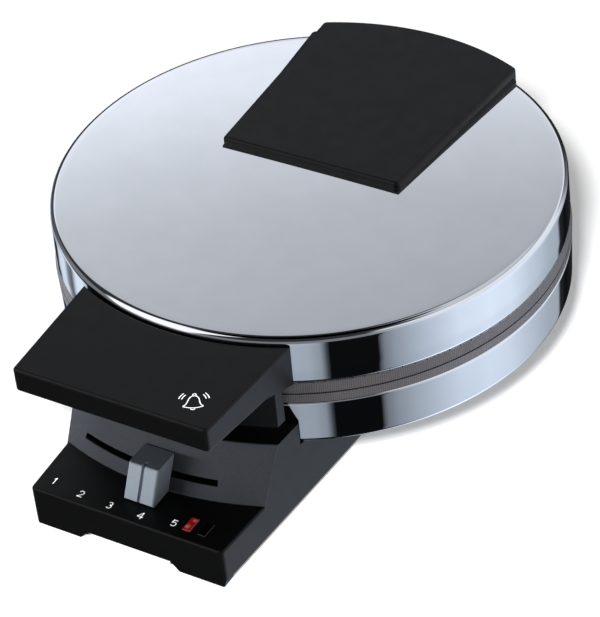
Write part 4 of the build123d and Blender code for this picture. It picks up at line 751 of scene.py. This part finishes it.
# %% One finish for each slot
black = (rgb(12, 12, 12), rgb(15, 15, 16))
choices = {
    "polished_steel": dict(colours=(rgb(204, 206, 210), rgb(200, 202, 206)), grain=0.012,
                           roughness=(0.012, 0.022), Metallic=1.0),
    "cast_plate": dict(colours=(rgb(52, 50, 52), rgb(64, 61, 63)), grain=0.0006,
                       roughness=(0.42, 0.52), lift=3e-5, patch=(on_plate_rim, tick_paint),
                       Metallic=0.35),
    "rod": dict(colours=(rgb(96, 92, 88), rgb(120, 114, 106)), grain=0.0008,
                roughness=(0.35, 0.5), lift=1e-5, Metallic=0.9),
    "sheet_steel": dict(colours=(rgb(168, 170, 172), rgb(188, 189, 190)), grain=0.0007,
                        roughness=(0.28, 0.4), lift=4e-6, stretch=(1.0, 0.15, 1.0),
                        Metallic=1.0),
    "screw_steel": dict(colours=(rgb(150, 152, 156), rgb(176, 177, 180)), grain=0.0005,
                        roughness=(0.25, 0.38), lift=4e-6, Metallic=1.0),
    "hinge_casting": dict(colours=(rgb(120, 122, 126), rgb(146, 148, 150)), grain=0.0007,
                          roughness=(0.45, 0.6), lift=3e-5, Metallic=0.9),
    "bronze": dict(colours=(rgb(150, 112, 66), rgb(170, 130, 82)), grain=0.0005,
                   roughness=(0.3, 0.42), lift=5e-6, Metallic=1.0),
    "brass": dict(colours=(rgb(190, 158, 92), rgb(206, 176, 110)), grain=0.0005,
                  roughness=(0.28, 0.38), lift=4e-6, Metallic=1.0),
    "black_plastic": dict(colours=black, grain=0.00045, roughness=(0.37, 0.41), lift=1e-5,
                          Specular_IOR_Level=0.17),
    "inner_plastic": dict(colours=(rgb(30, 30, 31), rgb(38, 38, 39)), grain=0.0006,
                          roughness=(0.5, 0.6), lift=2e-5),
    "knob_plastic": dict(colours=(rgb(150, 160, 170), rgb(160, 170, 180)), grain=0.0004,
                         roughness=(0.42, 0.52), lift=1e-5, Specular_IOR_Level=0.15),
    "red_plastic": dict(colours=(rgb(104, 6, 9), rgb(140, 12, 14)), grain=0.002,
                        roughness=(0.12, 0.2), lift=1e-5, patch=(lens_glow, hot_paint),
                        Emission_Color=(0.9, 0.02, 0.02, 1.0), Emission_Strength=0.14),
    "smoke_plastic": dict(colours=(rgb(12, 8, 9), rgb(20, 12, 13)), grain=0.002,
                          roughness=(0.1, 0.18), lift=1e-5, Specular_IOR_Level=0.3),
    "lamp_plastic": dict(colours=(rgb(214, 208, 200), rgb(226, 220, 212)), grain=0.001,
                         roughness=(0.15, 0.25)),
    "white_plastic": dict(colours=(rgb(214, 212, 204), rgb(224, 222, 215)), grain=0.0006,
                          roughness=(0.4, 0.5), lift=1e-5),
    "board_laminate": dict(colours=(rgb(24, 84, 48), rgb(32, 98, 58)), grain=0.0008,
                           roughness=(0.3, 0.42), lift=8e-6),
    "foil": dict(colours=(rgb(178, 124, 44), rgb(196, 144, 60)), grain=0.0016,
                 roughness=(0.3, 0.4), lift=8e-6),
    "rubber": dict(colours=(rgb(24, 24, 24), rgb(32, 32, 32)), grain=0.0007,
                   roughness=(0.68, 0.8), lift=2e-5),
}
finishes = {slot: finish(slot, **choice) for slot, choice in choices.items()}
# On the control wall the colour is a painted sheen, a lighter grey than the black.
housing_finish = finish("housing_plastic", black, grain=0.00045, roughness=(0.38, 0.42),
                        lift=1.2e-5, patch=(on_control_wall, grain_and_painted_sheen),
                        dull=(on_control_wall, dull_roughness), Specular_IOR_Level=0.17)
print(len(finishes) + 1, "finishes")


# %% [markdown]
# The figures 1 to 5 and a small bell are printed in white. A font would do for figures
# of this size, but its strokes are too heavy here, and the bell needs drawing anyway.
# So all are drawn alike: a stroke is a line of points with a ribbon of constant width.

# %% Printing helpers
ink_lift = 0.03 * mm          # the print lies this high over the plastic
# The ink also glows a little. That is painted light, which keeps the print bright where the
# panel lies in shade.
ink_with_painted_glow = finish("white_ink_painted_glow", (rgb(226, 228, 230), rgb(238, 239, 240)), grain=0.0003,
                    roughness=(0.5, 0.6), lift=2e-6, Specular_IOR_Level=0.3,
                    Emission_Color=grey(0.9), Emission_Strength=0.6)


def ribbon(points, width):
    """The corners and faces of a flat band of that width along points (x, y). Each point
    moves half a width to both sides, square to the line through its neighbours."""
    points = np.asarray(points, float)
    along = np.gradient(points, axis=0)
    along /= np.linalg.norm(along, axis=1)[:, None]
    side = np.stack([-along[:, 1], along[:, 0]], 1) * width / 2
    corners = np.concatenate([points + side, points - side])
    first = np.arange(len(points) - 1)
    faces = np.stack([first, first + len(points), first + len(points) + 1, first + 1], 1)
    return corners, faces


def bow(middle, radius, start, end, steps=14):
    """Points of an arc round middle, angles in degrees."""
    turn = np.radians(np.linspace(start, end, steps))
    return np.array(middle) + radius * np.stack([np.cos(turn), np.sin(turn)], 1)


def printed(name, strokes, width, size, turn, middle, height, body):
    """Strokes laid flat: made size times as large, turned, and moved to middle, in mm."""
    corners, faces, count = [], [], 0
    for line in strokes:
        band_corners, band_faces = ribbon(line, width)
        corners.append(band_corners)
        faces.append(band_faces + count)
        count += len(band_corners)
    flat = np.concatenate(corners) * size
    cos, sin = math.cos(turn), math.sin(turn)
    points = np.stack([(flat[:, 0] * cos - flat[:, 1] * sin + middle[0]) * mm,
                       (flat[:, 0] * sin + flat[:, 1] * cos + middle[1]) * mm + axis_y,
                       np.full(len(flat), height + ink_lift)], 1)
    piece = add_mesh(name, points, np.concatenate(faces), body, False)
    piece.data.materials.append(ink_with_painted_glow)
    return piece


# %% [markdown]
# The figures stand on the panel in front of the slot, on an arc round the slider's pivot.
# Each is drawn in a box one unit high round its own middle, from bows and straight lines.

# %% Figures on the panel
figure_height = 3.3           # mm
figure_stroke = 0.125         # of the height
two_bow = bow((0.0, 0.2), 0.28, 165, -40)
figure_strokes = [
    [[(-0.20, 0.24), (0.05, 0.47)], [(0.02, 0.5), (0.02, -0.5)]],
    [np.concatenate([two_bow, [(-0.28, -0.44)]]), [(-0.32, -0.44), (0.33, -0.44)]],
    [bow((0.0, 0.22), 0.24, 150, -85), bow((0.0, -0.2), 0.27, 90, -150)],
    [[(0.14, 0.5), (-0.34, -0.2)], [(-0.36, -0.2), (0.36, -0.2)], [(0.14, 0.5), (0.14, -0.5)]],
    [[(0.28, 0.44), (-0.24, 0.44)], [(-0.2, 0.48), (-0.25, -0.02)],
     bow((0.0, -0.16), 0.3, 140, -145)],
]
# mm, to the right of the plate axis and behind it
figure_places = [(-34.9, -135.7), (-22.1, -137.6), (-9.1, -138.2), (4.3, -138.1),
                 (17.4, -136.3)]
figures = [printed(f"figure_{number}", strokes, figure_stroke, figure_height, 0.0, place,
                   panel_z, "base")
           for number, (place, strokes) in enumerate(zip(figure_places, figure_strokes), 1)]
print("figures", [piece.name for piece in figures])


# %% [markdown]
# The bell stands for the signal that sounds when a waffle is ready. It is an outline, with
# a mouth, a clapper, a loop and two sound lines on each side.

# %% Bell on the handle
bell_middle = (28.5, -129.5)  # mm, from the plate axis
bell_turn = math.radians(27.0)
bell_scale = 1.1
bell_stroke = 0.36            # mm, before scaling, like all lengths of the bell
body_half, body_arch = 1.95, 3.4                # half width, and how boxy its arch is
flare_half, flare_power = 1.35, 5               # what the mouth adds, and how fast it fades
mouth_y, bell_height = -2.3, 5.1
side_points = 26
handle_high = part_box("handle_top")[1].z


def bell_side():
    """Half of the bell, from its mouth to its crown: the half width falls like a rounded
    arch and flares at the mouth."""
    share = np.linspace(0.0, 1.0, side_points)
    half = (body_half * np.sqrt(np.clip(1 - share ** body_arch, 0, 1))
            + flare_half * (1 - share) ** flare_power)
    return np.stack([half, mouth_y + bell_height * share], 1)


half_bell = bell_side()
mirror = np.array([-1.0, 1.0])
bell_strokes = [np.concatenate([half_bell, (half_bell * mirror)[-2::-1]]),   # the outline
                bow((0, 4.4), 7.5, -116, -64, 16),                           # mouth
                bow((0, -3.2), 0.75, -160, -20),                             # clapper
                bow((0, 3.2), 0.55, -20, 200)]                               # loop
for side in (1, -1):
    for radius in (4.0, 5.0):
        bell_strokes.append(bow((0, 0.4), radius, 12, 46) * (side, 1))       # sound lines
bell = printed("bell_print", bell_strokes, bell_stroke, bell_scale, bell_turn, bell_middle,
               handle_high, "lid")
print(bell.name, "of", len(bell_strokes), "strokes")


# %% [markdown]
# A CAD node carries the name of the material slot it was packed with. The CAD nodes and
# the two skins get their finish in one pass, so that no piece is left in a plain colour.

# %% Dress every piece
slot_of_node = {name: piece.data.materials[0].name.split(".")[0]
                for name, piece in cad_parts.items() if piece.data.materials}
print("slots", sorted(set(slot_of_node.values())))
for name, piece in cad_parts.items():
    piece.data.materials.clear()
    piece.data.materials.append(finishes[slot_of_node[name]])
for piece in (lid_skin, pan_skin):
    piece.data.materials.append(finishes["polished_steel"])
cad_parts["base_housing"].data.materials[0] = housing_finish
print(len(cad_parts), "CAD nodes dressed")

# The lid in the photograph mirrors nothing of the cover that lies on it.
for name in ("hinge_cover_top", "hinge_cover_frame"):
    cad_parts[name].visible_glossy = False


# %% View transform
scene = bpy.context.scene
scene.view_settings.view_transform = "Standard"
